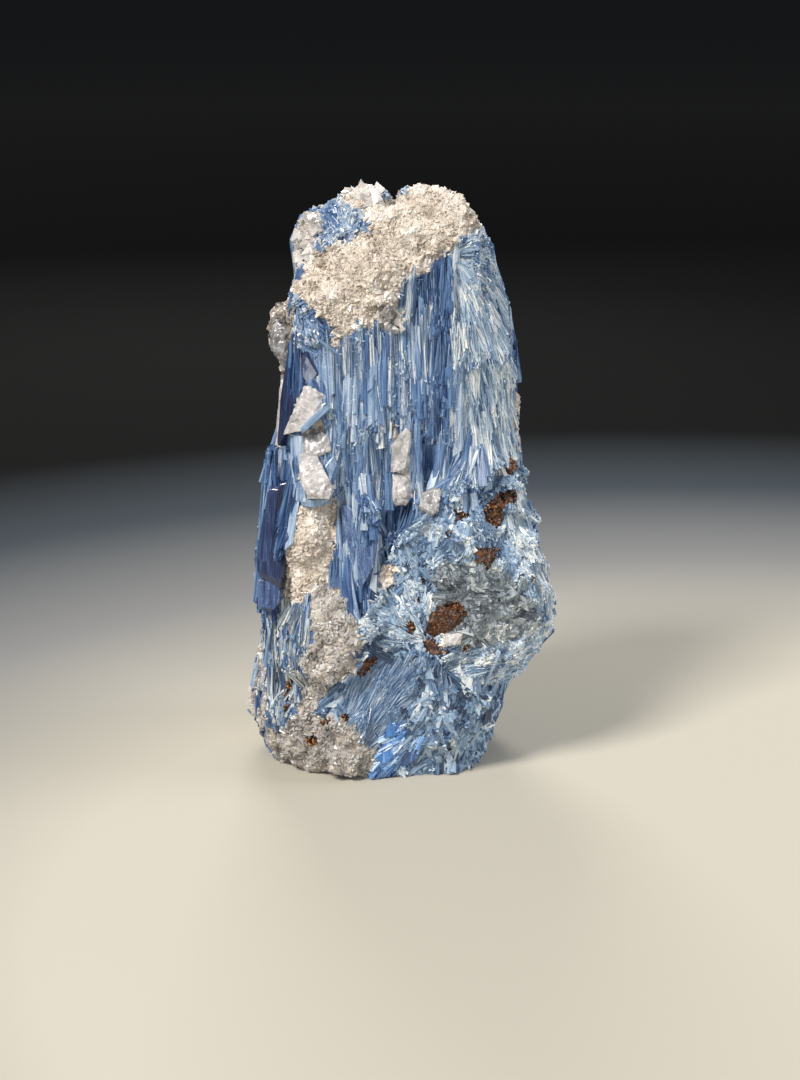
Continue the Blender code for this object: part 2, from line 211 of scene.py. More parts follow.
# How pale the quartz of each zone is, from 0 to 1
paleness = {"cap": 0.57, "lobe": 0.50, "bump": 0.62, "capCorner": 0.52, "finEdge": 0.22, "wedgeUpper": 0.60,
            "wedgeMiddle": 0.38, "wedgeLower": 0.52, "lens": 0.42, "lensSmall": 0.38, "vein": 0.58,
            "lowerQuartz": 0.43, "leftRim": 0.46, "baseQuartz": 0.36, "nub": 0.60, "brightSpot": 0.80,
            "fanRim": 0.56, "rearQuartz": 0.52}
quartzZones = tuple(paleness)
zonePaleness = np.array([paleness.get(name, 0.5) for name in zoneNames])
ragged = {"grain": 2.4, "pixels": 5.0, "rustPixels": 1.5, "facing": 0.02}
rearEdge = {"broad": 0.55, "broadLength": 14.0, "broadStretch": (1, 1, 1.8), "fine": 0.35, "fineLength": 5.0,
            "fray": 0.15}
lumpyZones = ("bulge", "bulgeGrey", "bulgeFan", "bulgeRim", "bulgeLow", "foot", "footFan", "leftPatch",
              "topBlue", "peakBlue")
barredZones = quartzZones + ("rust",)  # a blade seldom ends here


def inZones(zone, names):
    # which of these points lie in the named zones
    return np.isin(zone, [zoneNames.index(name) for name in names])


def insideOutline(pixels, outline):
    inside = np.zeros(len(pixels), bool)
    x, y = pixels[:, 0], pixels[:, 1]
    for (x0, y0), (x1, y1) in zip(outline, outline[1:] + outline[:1]):
        if y0 != y1:
            inside ^= ((y0 > y) != (y1 > y)) & (x < (x1 - x0) * (y - y0) / (y1 - y0) + x0)
    return inside


def noiseAt(points, length, stretch=(1, 1, 1)):
    scaled = points / (np.array(stretch) * length)
    return np.array([noise.noise(Vector(p)) for p in scaled])


def zonesOf(points, normals):
    # the zone's number for each point of the skin
    eye, _, _ = cameraAxes()
    toEye = eye - points
    toEye /= np.linalg.norm(toEye, axis=1, keepdims=True)
    facing = (normals * toEye).sum(1) > ragged["facing"]
    wander = np.stack((noiseAt(points, ragged["grain"]), noiseAt(points + 50, ragged["grain"])), axis=1)
    pixels = toPixels(points) + wander * ragged["pixels"]
    found = np.full(len(points), zoneNames.index("rearBlue"))
    broad = noiseAt(points, rearEdge["broadLength"], rearEdge["broadStretch"])
    fine = noiseAt(points, rearEdge["fineLength"])
    edge = 1 + rearEdge["broad"] * broad + rearEdge["fine"] * fine + rearEdge["fray"] * wander[:, 0]
    for middle, half in rearQuartz:
        inside = np.linalg.norm((points - middle) / half, axis=1) < edge
        found[inside] = zoneNames.index("rearQuartz")
    for name, outline in zones.items():
        found[facing & insideOutline(pixels, outline)] = zoneNames.index(name)
    pixels = toPixels(points) + wander * ragged["rustPixels"]
    for outline in rustSpots:
        found[facing & insideOutline(pixels, outline)] = zoneNames.index("rust")
    return found


# The rock's body: the CAD solid with a finer, broken skin
body = {"voxel": 0.85, "crispRounds": 1, "calmRounds": 12, "weld": 0.00001,
        "rib": 1.0, "ribLength": 2.2, "ribStretch": (1, 1, 10), "swell": 0.3, "swellLength": 5.0,
        "lump": 0.8, "lumpLength": 2.0, "rustSink": 0.7, "creaseSink": 2.2, "lumpWobble": 3.0,
        "lumpBend": 0.45, "lumpFlat": 0.45, "lumpLevel": 0.2, "sheafSize": 6.0, "sheafRise": 3.4,
        "massSize": 4.5, "massRise": 1.8, "underSheaf": 0.3, "underGrain": 0.35,
        "flatBelow": 1.0, "bareBelow": 0.6}


def smoothedMesh(item, rounds):
    smooth = item.modifiers.get("calm") or item.modifiers.new("calm", "SMOOTH")
    smooth.iterations = rounds
    graph = bpy.context.evaluated_depsgraph_get()
    return bpy.data.meshes.new_from_object(item.evaluated_get(graph))


def readMesh(mesh):
    count = len(mesh.vertices)
    points = np.empty(count * 3)
    mesh.vertices.foreach_get("co", points)
    normals = np.empty(count * 3)
    mesh.vertices.foreach_get("normal", normals)
    mesh.calc_loop_triangles()
    corners = np.empty(len(mesh.loop_triangles) * 3, np.int32)
    mesh.loop_triangles.foreach_get("vertices", corners)
    return points.reshape(-1, 3) / mm, normals.reshape(-1, 3), corners.reshape(-1, 3)


def makeRockBody():
    bm = bmesh.new()
    bm.from_mesh(cadRock.data)
    bmesh.ops.remove_doubles(bm, verts=bm.verts, dist=body["weld"])
    rock = addObject("rockBody", meshFrom(bm, "rockBody"))
    remesh = rock.modifiers.new("even", "REMESH")
    remesh.mode = "VOXEL"
    remesh.voxel_size = body["voxel"] * mm
    calm = smoothedMesh(rock, body["calmRounds"])
    crisp = smoothedMesh(rock, body["crispRounds"])
    rock.modifiers.clear()
    rock.data = crisp
    return rock, calm


def columnRelief(points):
    # steps between columns of fibres, in millimetres
    return body["rib"] * noiseAt(points, body["ribLength"], body["ribStretch"])


def lumpRelief(points, zone):
    # sheaves and quartz masses stand proud of the creases between them
    rise = np.zeros(len(points))
    wobble = np.stack([noiseAt(points + shift, body["lumpWobble"]) for shift in (0, 31, 77)], axis=1)
    for names, length, height in ((lumpyZones, body["sheafSize"], body["sheafRise"]),
                                  (quartzZones, body["massSize"], body["massRise"])):
        chosen = np.flatnonzero(inZones(zone, names))
        spots = points[chosen] / length + wobble[chosen] * body["lumpBend"]
        near = np.array([noise.voronoi(Vector(p))[0][:2] for p in spots])
        rise[chosen] = height * (np.minimum(near[:, 1] - near[:, 0], body["lumpFlat"]) - body["lumpLevel"])
    rise -= body["rustSink"] * inZones(zone, ("rust",))
    rise -= body["creaseSink"] * inZones(zone, ("crease",))
    return np.where(points[:, 2] < body["flatBelow"], np.minimum(rise, 0), rise)


def roughenBody(rock, zone, normals, lumps):
    # ribs along the blades and grains on the quartz, over the lumps that the skin has
    points = readMesh(rock.data)[0]
    isQuartz = inZones(zone, quartzZones)
    isLumpy = inZones(zone, lumpyZones + ("footSmooth",))
    lump = np.array([noise.voronoi(Vector(p / body["lumpLength"]))[0][0] for p in points])
    rise = np.where(isLumpy, -body["underSheaf"], columnRelief(points))
    rise = np.where(isQuartz, body["lump"] * (0.5 - lump) - body["underGrain"], rise)
    rise += body["swell"] * noiseAt(points, body["swellLength"])
    rise = np.where(points[:, 2] < body["flatBelow"], np.minimum(rise, 0), rise) + lumps
    moved = points + normals * rise[:, None]
    moved[:, 2] = np.maximum(moved[:, 2], 0)
    rock.data.vertices.foreach_set("co", (moved * mm).ravel())
    rock.data.update()


def writeLayer(mesh, name, values):
    # a number or a vector on every point, for the materials to read
    isVector = np.ndim(values) == 2
    layer = mesh.attributes.new(name, "FLOAT_VECTOR" if isVector else "FLOAT", "POINT")
    layer.data.foreach_set("vector" if isVector else "value", np.ravel(values))


def tagBody(rock, zone):
    # leaves the masks that the rock's material reads
    masks = {
        "quartzMask": inZones(zone, quartzZones),
        "paleness": zonePaleness[zone],
        "rustMask": inZones(zone, ("rust",)),
        # painted shade in the crease; under the glassy blades and the block, deep blue of their own
        "creaseShadeAndDeepBlueMask": inZones(zone, ("crease", "glassBlades", "panelBlock")),
    }
    for name, mask in masks.items():
        writeLayer(rock.data, name, mask.astype(np.float32))


# Shapes that are repeated: a splinter, a flat crystal and broken grains
def bladeTemplate(sides, face, edgeOut=False):
    # a flat prism, 1 wide on X, 1 thick on Y and 1 long on Z, with a face or an edge to the outside
    bm = bmesh.new()
    turn = Matrix.Rotation(math.pi / sides if edgeOut or sides == 4 else 0, 4, "Z")
    bmesh.ops.create_cone(bm, cap_ends=True, segments=sides, radius1=1, radius2=1, depth=1, matrix=turn)
    high = max(abs(v.co.y) for v in bm.verts)
    wide = max(v.co.x for v in bm.verts)
    for v in bm.verts:
        flat = abs(v.co.y) > high * 0.5 and sides > 4
        v.co.x = math.copysign(0.5 * (face if flat else 1), v.co.x) if flat else v.co.x / wide * 0.5
        v.co.y = v.co.y / high * 0.5
    return trianglesOf(bm)


def grainTemplate(corners, seed):
    # a broken grain: the hull of a few points on a ball
    picks = np.random.default_rng(seed).normal(size=(corners, 3))
    picks /= np.linalg.norm(picks, axis=1, keepdims=True) * 2
    bm = bmesh.new()
    for p in picks:
        bm.verts.new(p)
    hull = bmesh.ops.convex_hull(bm, input=bm.verts)
    loose = [v for v in hull["geom_interior"] if isinstance(v, bmesh.types.BMVert)]
    bmesh.ops.delete(bm, geom=loose, context="VERTS")
    return trianglesOf(bm)


def trianglesOf(bm):
    bmesh.ops.triangulate(bm, faces=bm.faces)
    bmesh.ops.recalc_face_normals(bm, faces=bm.faces)
    bm.verts.index_update()
    shape = (np.array([v.co for v in bm.verts]), np.array([[v.index for v in f.verts] for f in bm.faces]))
    bm.free()
    return shape


fibres = [bladeTemplate(3, 1.0), bladeTemplate(3, 1.0, edgeOut=True), bladeTemplate(3, 1.0, edgeOut=True)]
crystals = [bladeTemplate(6, 0.72)]
grains = [grainTemplate(7, seed) for seed in range(10)]


def joinCopies(name, templates, copies, material):
    # one mesh of many copies. copies holds place, turn, size, taper, slant and tone for each
    count = len(copies["place"])
    pick = rng.integers(0, len(templates), count)
    allPoints, allFaces, allGrain, allTone, allEnds, start = [], [], [], [], [], 0
    for number, (verts, faces) in enumerate(templates):
        chosen = np.flatnonzero(pick == number)
        size = copies["size"][chosen][:, None, :]
        local = verts[None] * size
        high = verts[None, :, 2:] + 0.5
        local[..., :1] *= 1 - copies["taper"][chosen][:, None, None] * high
        local[..., 2:] += local[..., :1] * copies["slant"][chosen][:, None, None]
        placed = np.einsum("nij,nvj->nvi", copies["turn"][chosen], local) + copies["place"][chosen][:, None]
        allPoints.append(placed.reshape(-1, 3))
        offsets = start + np.arange(len(chosen)) * len(verts)
        allFaces.append((faces[None] + offsets[:, None, None]).reshape(-1, 3))
        shift = rng.uniform(-200, 200, (len(chosen), 1, 3))
        allGrain.append((local + shift).reshape(-1, 3))
        allTone.append(np.repeat(copies["tone"][chosen], len(verts)))
        allEnds.append(np.tile(np.abs(verts[:, 2]) * 2, len(chosen)))
        start += len(chosen) * len(verts)
    points = np.concatenate(allPoints)
    points[:, 2] = np.maximum(points[:, 2], 0)
    mesh = bpy.data.meshes.new(name)
    mesh.from_pydata(points * mm, [], np.concatenate(allFaces))
    for layer, parts in (("grain", allGrain), ("tone", allTone), ("ends", allEnds)):
        writeLayer(mesh, layer, np.concatenate(parts))
    mesh.materials.append(material)
    return finishPiece(name, mesh)


def finishPiece(name, mesh):
    piece = addObject(name, mesh)
    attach(piece, "root")
    print(name, len(mesh.polygons), "faces")
    return piece


# Where copies stand
def scatterOn(zoneList, count):
    # random points of the skin in these zones, with the skin's way out and the nearest corner's number
    chance = skinAreas * inZones(skinZones[skinCorners[:, 0]], zoneList)
    faces = rng.choice(len(chance), count, p=chance / chance.sum())
    share = rng.dirichlet((1, 1, 1), count)[:, :, None]
    corners = skinCorners[faces]
    return (skinPoints[corners] * share).sum(1), unit((skinNormals[corners] * share).sum(1)), corners[:, 0]


def unit(vectors):
    return vectors / np.linalg.norm(vectors, axis=1, keepdims=True)


def turned(a, b, degrees):
    # turns a towards b, which is square to it, and b with it
    angle = np.radians(degrees)[:, None]
    return a * np.cos(angle) + b * np.sin(angle), b * np.cos(angle) - a * np.sin(angle)


def upOnSkin(out):
    # the way up along the skin, or the way back where the skin lies level
    up = np.where(np.abs(out[:, 2:]) < 0.93, np.array((0, 0, 1.0)), np.array((0, 1.0, 0)))
    return unit(up - out * (up * out).sum(1, keepdims=True))


def sheafCells(points, spec):
    # neighbours share a sheaf, and a sheaf has its own lean, pitch and tone
    seeds = points[rng.choice(len(points), spec["sheaves"], replace=False)]
    tree = KDTree(len(seeds))
    for index, seed in enumerate(seeds):
        tree.insert(seed, index)
    tree.balance()
    blurred = points + rng.normal(0, spec["sheafBlur"], points.shape)
    cell = np.array([tree.find(p)[1] for p in blurred])
    lean = rng.uniform(*spec["sheafLean"], len(seeds))[cell]
    pitch = rng.uniform(*spec["sheafPitch"], len(seeds))[cell]
    tone = rng.normal(0, spec["sheafTone"], len(seeds))[cell]
    return lean, pitch, tone


def fanLean(points, spec):
    # blades that spread from one point of the photograph
    away = toPixels(points) - np.array(spec["fanFrom"])
    return np.degrees(np.arctan2(away[:, 0], away[:, 1])) * -1 * spec["fanShare"]


def nearestOnSkin(points):
    # the skin's nearest point to each of these, and the zone there
    found = [skinTree.find_nearest(Vector(p)) for p in points]
    corner = skinCorners[[hit[2] for hit in found], 0]
    return np.array([hit[0] for hit in found]), skinZones[corner]


def growBlades(name, spec, material):
    count = spec["count"]
    points, out, corner = scatterOn(spec["zones"], count)
    length = rng.uniform(*spec["length"], count) * rng.uniform(*spec["lengthSpread"], count)
    lean = rng.uniform(*spec["lean"], count)
    pitch = rng.uniform(*spec["pitch"], count)
    # tone is lighter on lumps that stand proud and darker in the hollows between them: painted light and
    # shade
    tone = rng.normal(spec["tone"], spec["toneSpread"], count) + spec["paintedLumpShading"] * skinLumps[corner]
    tone += spec["streak"] * noiseAt(points, spec["streakWidth"], (1, 1, spec["streakRun"]))
    if "sheaves" in spec:
        cellLean, cellPitch, cellTone = sheafCells(points, spec)
        lean, pitch, tone = lean + cellLean, pitch + cellPitch, tone + cellTone
    if "fanFrom" in spec:
        lean = lean + fanLean(points, spec)
    along = upOnSkin(out)
    across = np.cross(along, out)
    along, across = turned(along, across, lean)
    reach = along * (length * spec["follow"] / 2)[:, None]
    head, headZone = nearestOnSkin(points + reach)
    foot, footZone = nearestOnSkin(points - reach)
    strays = inZones(headZone, barredZones) | inZones(footZone, barredZones)
    kept = ~strays | (rng.random(count) < spec["stray"])
    length = np.minimum(length, np.linalg.norm(head - foot, axis=1) / spec["follow"])
    along = unit(head - foot)
    out = unit(out - along * (out * along).sum(1, keepdims=True))
    along, out = turned(along, out, pitch)
    across = np.cross(along, out)
    out, across = turned(out, across, rng.uniform(*spec["roll"], count))
    width = rng.uniform(*spec["width"], count)
    thick = rng.uniform(*spec["thick"], count)
    rise = rng.uniform(*spec["proud"], count) + spec["relief"] * columnRelief(points)
    place = (head + foot) / 2 + out * rise[:, None]
    copies = {
        "place": place,
        "turn": np.stack((across, -out, along), axis=2),
        "size": np.stack((width, thick, length), axis=1),
        "taper": rng.uniform(*spec["taper"], count),
        "slant": rng.uniform(*spec["slant"], count),
        "tone": tone,
    }
    copies = {key: values[kept] for key, values in copies.items()}
    return joinCopies(name, spec["shapes"], copies, material)


def randomTurns(count):
    # rotation matrices for random unit quaternions
    w, x, y, z = unit(rng.normal(size=(count, 4))).T
    rows = (1 - 2 * (y * y + z * z), 2 * (x * y - z * w), 2 * (x * z + y * w),
            2 * (x * y + z * w), 1 - 2 * (x * x + z * z), 2 * (y * z - x * w),
            2 * (x * z - y * w), 2 * (y * z + x * w), 1 - 2 * (x * x + y * y))
    return np.stack(rows, axis=1).reshape(-1, 3, 3)


def growGrains(name, spec, material):
    count = spec["count"]
    points, out, corner = scatterOn(spec["zones"], count)
    size = rng.uniform(*spec["size"], count)[:, None] * rng.uniform(*spec["sizeSpread"], (count, 3))
    sunk = rng.uniform(*spec["sunk"], count)[:, None] * size.mean(1, keepdims=True)
    base = spec["tone"] if "tone" in spec else zonePaleness[skinZones[corner]]
    tone = base + rng.normal(0, spec["toneSpread"], count)
    # tone is lighter on lumps that stand proud and darker in the hollows between them: painted light and
    # shade
    tone += spec["paintedLumpShading"] * skinLumps[corner] + spec["patch"] * noiseAt(points, spec["patchSize"])
    still = np.zeros(count)
    copies = {"place": points - out * sunk, "turn": randomTurns(count), "size": size,
              "taper": still, "slant": still, "tone": tone}
    return joinCopies(name, grains, copies, material)


def growRust(name, spec, material):
    # crumbs where the photograph shows each spot, and specks scattered over the rest
    dice = np.random.default_rng(spec["seed"])
    seats = []
    for outline in rustSpots:
        low, high = np.min(outline, axis=0), np.max(outline, axis=0)
        wanted = int(np.prod(high - low) * spec["perPixel"]) + spec["least"]
        tries = dice.uniform(low, high, (wanted, 2))
        seats += [seatAt(pixel) for pixel in tries[insideOutline(tries, outline)]]
    seats = [seat for seat in seats if seat[0] is not None]
    points = np.array([seat[0] for seat in seats])
    out = np.array([seat[1] for seat in seats])
    size = dice.uniform(*spec["size"], len(points))
    speckPoints, speckOut, _ = scatterOn(spec["speckZones"], spec["specks"])
    points, out = np.concatenate((points, speckPoints)), np.concatenate((out, speckOut))
    size = np.concatenate((size, dice.uniform(*spec["speckSize"], spec["specks"])))[:, None]
    size = size * dice.uniform(*spec["sizeSpread"], (len(points), 3))
    still = np.zeros(len(points))
    copies = {"place": points - out * dice.uniform(*spec["sunk"], (len(points), 1)) * size,
              "turn": randomTurns(len(points)), "size": size, "taper": still, "slant": still,
              "tone": dice.normal(spec["tone"], spec["toneSpread"], len(points))}
    return joinCopies(name, grains, copies, material)


# Large crystals: glassy blue blades and clear quartz, each cut to the outline that the photograph shows
def onPlane(pixel, point, facing):
    eye, way = sightLine(pixel)
    return eye + way * ((point - eye).dot(facing) / way.dot(facing))


def chipAway(bm, point, facing):
    # shaves off what stands past a plane and closes the cut
    parts = bm.verts[:] + bm.edges[:] + bm.faces[:]
    cut = bmesh.ops.bisect_plane(bm, geom=parts, dist=1e-5, plane_co=point, plane_no=facing, clear_outer=True)
    rim = [e for e in cut["geom_cut"] if isinstance(e, bmesh.types.BMEdge)]
    if rim:
        bmesh.ops.edgenet_fill(bm, edges=rim)


def slabShape(spec, dice):
    seat, out = seatAt(spec["seat"])
    toCamera = (sightLine(spec["seat"])[1] * -1).normalized()
    facing = out.lerp(toCamera, spec["toCamera"]).normalized()
    front = seat + facing * spec["proud"]
    bm = bmesh.new()
    corners = [onPlane(pixel, front, facing) for pixel in spec["outline"]]
    middle = sum(corners, Vector()) / len(corners)
    face = bm.faces.new([bm.verts.new(corner) for corner in corners])
    grown = bmesh.ops.extrude_face_region(bm, geom=[face])
    rear = [v for v in grown["geom"] if isinstance(v, bmesh.types.BMVert)]
    bmesh.ops.translate(bm, verts=rear, vec=-facing * (spec["proud"] + spec["deep"]))
    upright = (Vector((0, 0, 1)) - facing * facing.z).normalized()
    upright.rotate(Matrix.Rotation(math.radians(spec["grainTurn"]), 3, facing))
    sideways = upright.cross(facing)
    for turn, depth in spec["facets"]:  # broad facets that slope away on this side, in degrees from the right
        side = sideways * math.cos(math.radians(turn)) + upright * math.sin(math.radians(turn))
        slope = (facing + side * dice.uniform(*spec["facetSlope"])).normalized()
        chipAway(bm, middle - facing * depth, slope)
    for corner in dice.permutation(len(corners))[:spec["chips"]]:
        side = (corners[corner] - middle).normalized()
        way = side * dice.uniform(*spec["chipSide"]) + facing * dice.uniform(*spec["chipFront"])
        way.normalize()
        chipAway(bm, corners[corner] - way * dice.uniform(*spec["chipDepth"]) * spec["chipSize"], way)
    bmesh.ops.bevel(bm, geom=bm.edges[:], offset=spec["bevel"], offset_type="OFFSET", segments=1, profile=0.5,
                    affect="EDGES", material=-1, clamp_overlap=True)
    bmesh.ops.triangulate(bm, faces=bm.faces)
    bmesh.ops.recalc_face_normals(bm, faces=bm.faces)
    crumple(bm, (sideways, -facing, upright), spec)
    return bm, (sideways, -facing, upright)


def crumple(bm, axes, spec):
    # small steps and hollows over the whole crystal, drawn out along a blade
    bmesh.ops.subdivide_edges(bm, edges=bm.edges[:], cuts=spec["cuts"], use_grid_fill=True)
    bm.normal_update()
    moves = []
    for v in bm.verts:
        spot = Vector([v.co.dot(axis) / run for axis, run in zip(axes, spec["crumpleRun"])])
        hollow = noise.voronoi(spot * spec["hollowScale"])[0][0] - spec["hollowLevel"]
        step = noise.noise(spot) + spec["hollow"] * hollow
        moves.append(v.normal * step * spec["crumple"])
    for v, move in zip(bm.verts, moves):
        v.co += move
        v.co.z = max(v.co.z, 0)


def makeSlab(name, spec, material):
    dice = np.random.default_rng(spec["seed"])
    bm, axes = slabShape(spec, dice)
    mesh = meshFrom(bm, name)
    points = np.array([v.co for v in mesh.vertices])
    local = points @ np.array(axes).T + dice.uniform(-200, 200, 3)
    mesh.vertices.foreach_set("co", (points * mm).ravel())
    writeLayer(mesh, "grain", local)
    writeLayer(mesh, "tone", np.full(len(points), spec["tone"]))
    mesh.materials.append(material)
    return finishPiece(name, mesh)


slabBase = {"toCamera": 0.5, "proud": 1.2, "deep": 4.0, "bevel": 0.12, "cuts": 2, "grainTurn": 0,
            "facets": (), "facetSlope": (0.35, 0.7), "chips": 3, "chipSize": 1.0, "chipSide": (0.5, 1.0),
            "chipFront": (0.5, 1.2), "chipDepth": (0.2, 0.9), "hollow": 0.8, "hollowScale": 0.7,
            "hollowLevel": 0.4}
blueBase = {**slabBase, "crumple": 0.16, "crumpleRun": (0.9, 0.9, 9.0)}
clearBase = {**slabBase, "crumple": 0.32, "crumpleRun": (0.8, 0.8, 1.1), "cuts": 4, "chips": 6,
             "chipSize": 1.6}
rustBase = {**slabBase, "crumple": 0.5, "crumpleRun": (1.0, 1.0, 1.0), "cuts": 3, "toCamera": 0.6,
            "tone": 0.42}
blueSlabs = {
    "upperGlassBlade": {"seed": 1, "seat": (292, 390), "proud": 1.6, "tone": 0.18, "facets": ((0, -1.2),),
                        "outline": [(289, 338), (298, 340), (306, 381), (297, 408), (283, 436), (277, 446),
                                    (280, 400)]},
    "upperGlassStep": {"seed": 10, "seat": (300, 370), "proud": 1.0, "tone": 0.22, "facets": ((30, -0.8),),
                       "outline": [(297, 342), (308, 350), (322, 378), (322, 392), (308, 386), (300, 372)]},
    "lowerGlassBlade": {"seed": 2, "seat": (276, 520), "proud": 1.2, "tone": 0.17, "deep": 7.0,
                        "facets": ((170, -0.9),),
                        "outline": [(280, 443), (291, 449), (298, 470), (293, 507), (290, 534), (284, 566),
                                    (279, 590), (258, 577), (256, 560), (261, 524), (270, 484)]},
    "lowerGlassEdge": {"seed": 11, "seat": (272, 530), "proud": 2.0, "tone": 0.30, "deep": 6.0,
                       "facets": ((180, -1.6),),
                       "outline": [(277, 462), (281, 470), (276, 510), (270, 560), (266, 578), (258, 574),
                                   (257, 560), (262, 524), (270, 484)]},
    "steppedBladeEnd": {"seed": 3, "seat": (268, 595), "proud": 2.0, "tone": 0.40, "facets": ((200, -1.4),),
                        "outline": [(257, 579), (277, 584), (282, 597), (274, 610), (258, 607)]},
    "panelBlock": {"seed": 4, "seat": (358, 540), "proud": 1.0, "tone": 0.52, "toCamera": 0.8, "chips": 2,
                   "facets": ((200, -0.9),),
                   "outline": [(341, 506), (374, 503), (379, 530), (374, 566), (361, 588), (345, 572)]},
    "wedgeStreak": {"seed": 12, "seat": (315, 419), "proud": 2.2, "tone": 0.52, "toCamera": 0.7, "chips": 2,
                    "look": "pale", "grainTurn": -45,
                    "outline": [(302, 434), (300, 428), (311, 417), (326, 405), (330, 409), (317, 421)]},
    "wedgeShade": {"seed": 13, "seat": (330, 470), "proud": 1.0, "tone": 0.40, "look": "pale",
                   "outline": [(321, 446), (332, 450), (339, 470), (337, 490), (330, 484), (324, 462)]},
    "wedgeFoot": {"seed": 14, "seat": (313, 502), "proud": 1.2, "tone": 0.55, "look": "pale",
                  "outline": [(299, 494), (310, 500), (328, 499), (332, 504), (318, 509), (302, 506)]},
    # the flash crystals: their own vivid blue, brightened as a painted reflection
    "flashBlade": {"seed": 6, "seat": (388, 754), "proud": 0.8, "tone": 0.46, "facets": ((150, -0.8),),
                   "look": "flash", "outline": [(371, 774), (378, 754), (385, 739), (399, 736), (408, 742),
                                                (398, 753), (386, 764), (379, 775)]},
    "flashBlock": {"seed": 7, "seat": (408, 750), "proud": 0.9, "tone": 0.36, "facets": ((30, -0.8),),
                   "look": "flash", "outline": [(394, 756), (403, 738), (421, 734), (426, 742), (417, 758),
                                                (405, 766), (393, 766)]},
    "flashUpper": {"seed": 8, "seat": (393, 730), "proud": 1.0, "tone": 0.46, "look": "flash",
                   "outline": [(383, 738), (390, 722), (402, 722), (401, 735)]},
    "flashUpperRight": {"seed": 20, "seat": (412, 728), "proud": 0.8, "tone": 0.40, "look": "pale",
                        "outline": [(403, 722), (412, 719), (425, 731), (420, 735), (403, 736)]},
    "bulgePlate": {"seed": 9, "seat": (496, 614), "proud": 0.9, "tone": 0.40, "facets": ((60, -0.8),),
                   "look": "grey", "outline": [(474, 604), (498, 604), (512, 612), (500, 624), (484, 630)]},
    "bulgePlateUpper": {"seed": 33, "seat": (507, 590), "proud": 0.7, "tone": 0.52, "look": "grey",
                        "outline": [(496, 582), (510, 584), (518, 594), (508, 600), (496, 594)]},
    "bulgePlateTop": {"seed": 34, "seat": (462, 532), "proud": 0.8, "tone": 0.58, "look": "pale",
                      "outline": [(455, 522), (463, 518), (470, 528), (468, 541), (458, 543)]},
}
rustSlabs = {
    "rustCrystal": {"seed": 41, "seat": (447, 618), "proud": 1.6, "facets": ((80, -1.2), (250, -1.4)),
                    "outline": [(425, 634), (433, 608), (441, 604), (459, 598), (463, 602), (468, 612),
                                (460, 624), (445, 634), (433, 637)]},
    "rustBelow": {"seed": 42, "seat": (433, 647), "proud": 1.2,
                  "outline": [(423, 641), (434, 638), (441, 646), (451, 650), (447, 656), (425, 652)]},
    "rustStar": {"seed": 43, "seat": (485, 555), "proud": 1.2,
                 "outline": [(472, 549), (482, 551), (487, 546), (490, 552), (500, 548), (493, 558),
                             (490, 568), (484, 561), (478, 563)]},
    "rustTall": {"seed": 44, "seat": (496, 513), "proud": 1.1,
                 "outline": [(482, 511), (490, 507), (497, 492), (501, 500), (504, 510), (498, 529),
                             (490, 524)]},
    "rustTop": {"seed": 45, "seat": (509, 467), "proud": 1.1,
                "outline": [(503, 466), (510, 459), (514, 459), (516, 470), (509, 476), (504, 473)]},
    "rustSide": {"seed": 46, "seat": (507, 496), "proud": 1.0,
                 "outline": [(501, 492), (510, 494), (514, 489), (516, 498), (507, 504)]},
    "rustLeft": {"seed": 47, "seat": (367, 665), "proud": 1.0,
                 "outline": [(356, 661), (368, 660), (376, 654), (377, 662), (366, 668), (361, 678),
                              (356, 672)]},
}
clearSlabs = {
    "leftFin": {"seed": 21, "seat": (283, 330), "proud": 1.2, "tone": 0.22,
                "facets": ((180, -0.9), (60, -1.1)),
                "outline": [(290, 300), (279, 313), (270, 328), (268, 343), (272, 356), (279, 372),
                            (285, 368), (289, 342)]},
    "leftFinStrip": {"seed": 22, "seat": (287, 400), "proud": 2.4, "tone": 0.58, "chips": 2,
                     "outline": [(286, 358), (292, 360), (289, 390), (285, 425), (280, 448), (275, 445),
                                 (278, 404), (281, 376)]},
    "upperWedge": {"seed": 25, "seat": (306, 410), "proud": 2.4, "tone": 0.78, "toCamera": 0.7,
                   "facets": ((40, -1.2), (230, -1.5)),
                   "outline": [(304, 386), (312, 387), (324, 396), (325, 406), (305, 430), (283, 436),
                               (289, 421), (299, 400)]},
    "middleWedge": {"seed": 26, "seat": (316, 443), "proud": 1.8, "tone": 0.56, "chips": 5,
                    "facets": ((60, -1.0), (240, -1.2)),
                    "outline": [(303, 434), (314, 426), (326, 430), (330, 442), (330, 450), (318, 456),
                                (302, 454)]},
    "lowerWedge": {"seed": 27, "seat": (315, 480), "proud": 2.4, "tone": 0.74, "toCamera": 0.7,
                   "facets": ((20, -1.3), (200, -1.4)),
                   "outline": [(300, 454), (317, 457), (332, 487), (329, 499), (307, 499), (299, 475)]},
    "panelLens": {"seed": 28, "seat": (402, 460), "proud": 1.5, "tone": 0.58, "toCamera": 0.7, "chips": 4,
                  "facets": ((170, -1.0), (350, -1.1)),
                  "outline": [(389, 415), (398, 418), (411, 434), (414, 450), (414, 468), (403, 474),
                              (391, 472), (392, 440)]},
    "panelLensFoot": {"seed": 29, "seat": (403, 488), "proud": 1.5, "tone": 0.66, "toCamera": 0.7, "chips": 3,
                      "facets": ((200, -1.0), (60, -1.1)),
                      "outline": [(392, 474), (404, 475), (415, 488), (413, 497), (405, 506), (394, 506)]},
    "smallLens": {"seed": 30, "seat": (431, 498), "proud": 1.4, "tone": 0.50, "chips": 4,
                  "facets": ((100, -0.9), (320, -1.0)),
                  "outline": [(423, 491), (432, 485), (441, 491), (439, 507), (432, 512), (419, 505)]},
    "brightGrain": {"seed": 32, "seat": (450, 639), "proud": 1.4, "tone": 0.86, "chips": 4,
                    "facets": ((80, -1.0), (300, -1.0)),
                    "outline": [(441, 636), (450, 630), (462, 634), (460, 644), (446, 646)]},
}


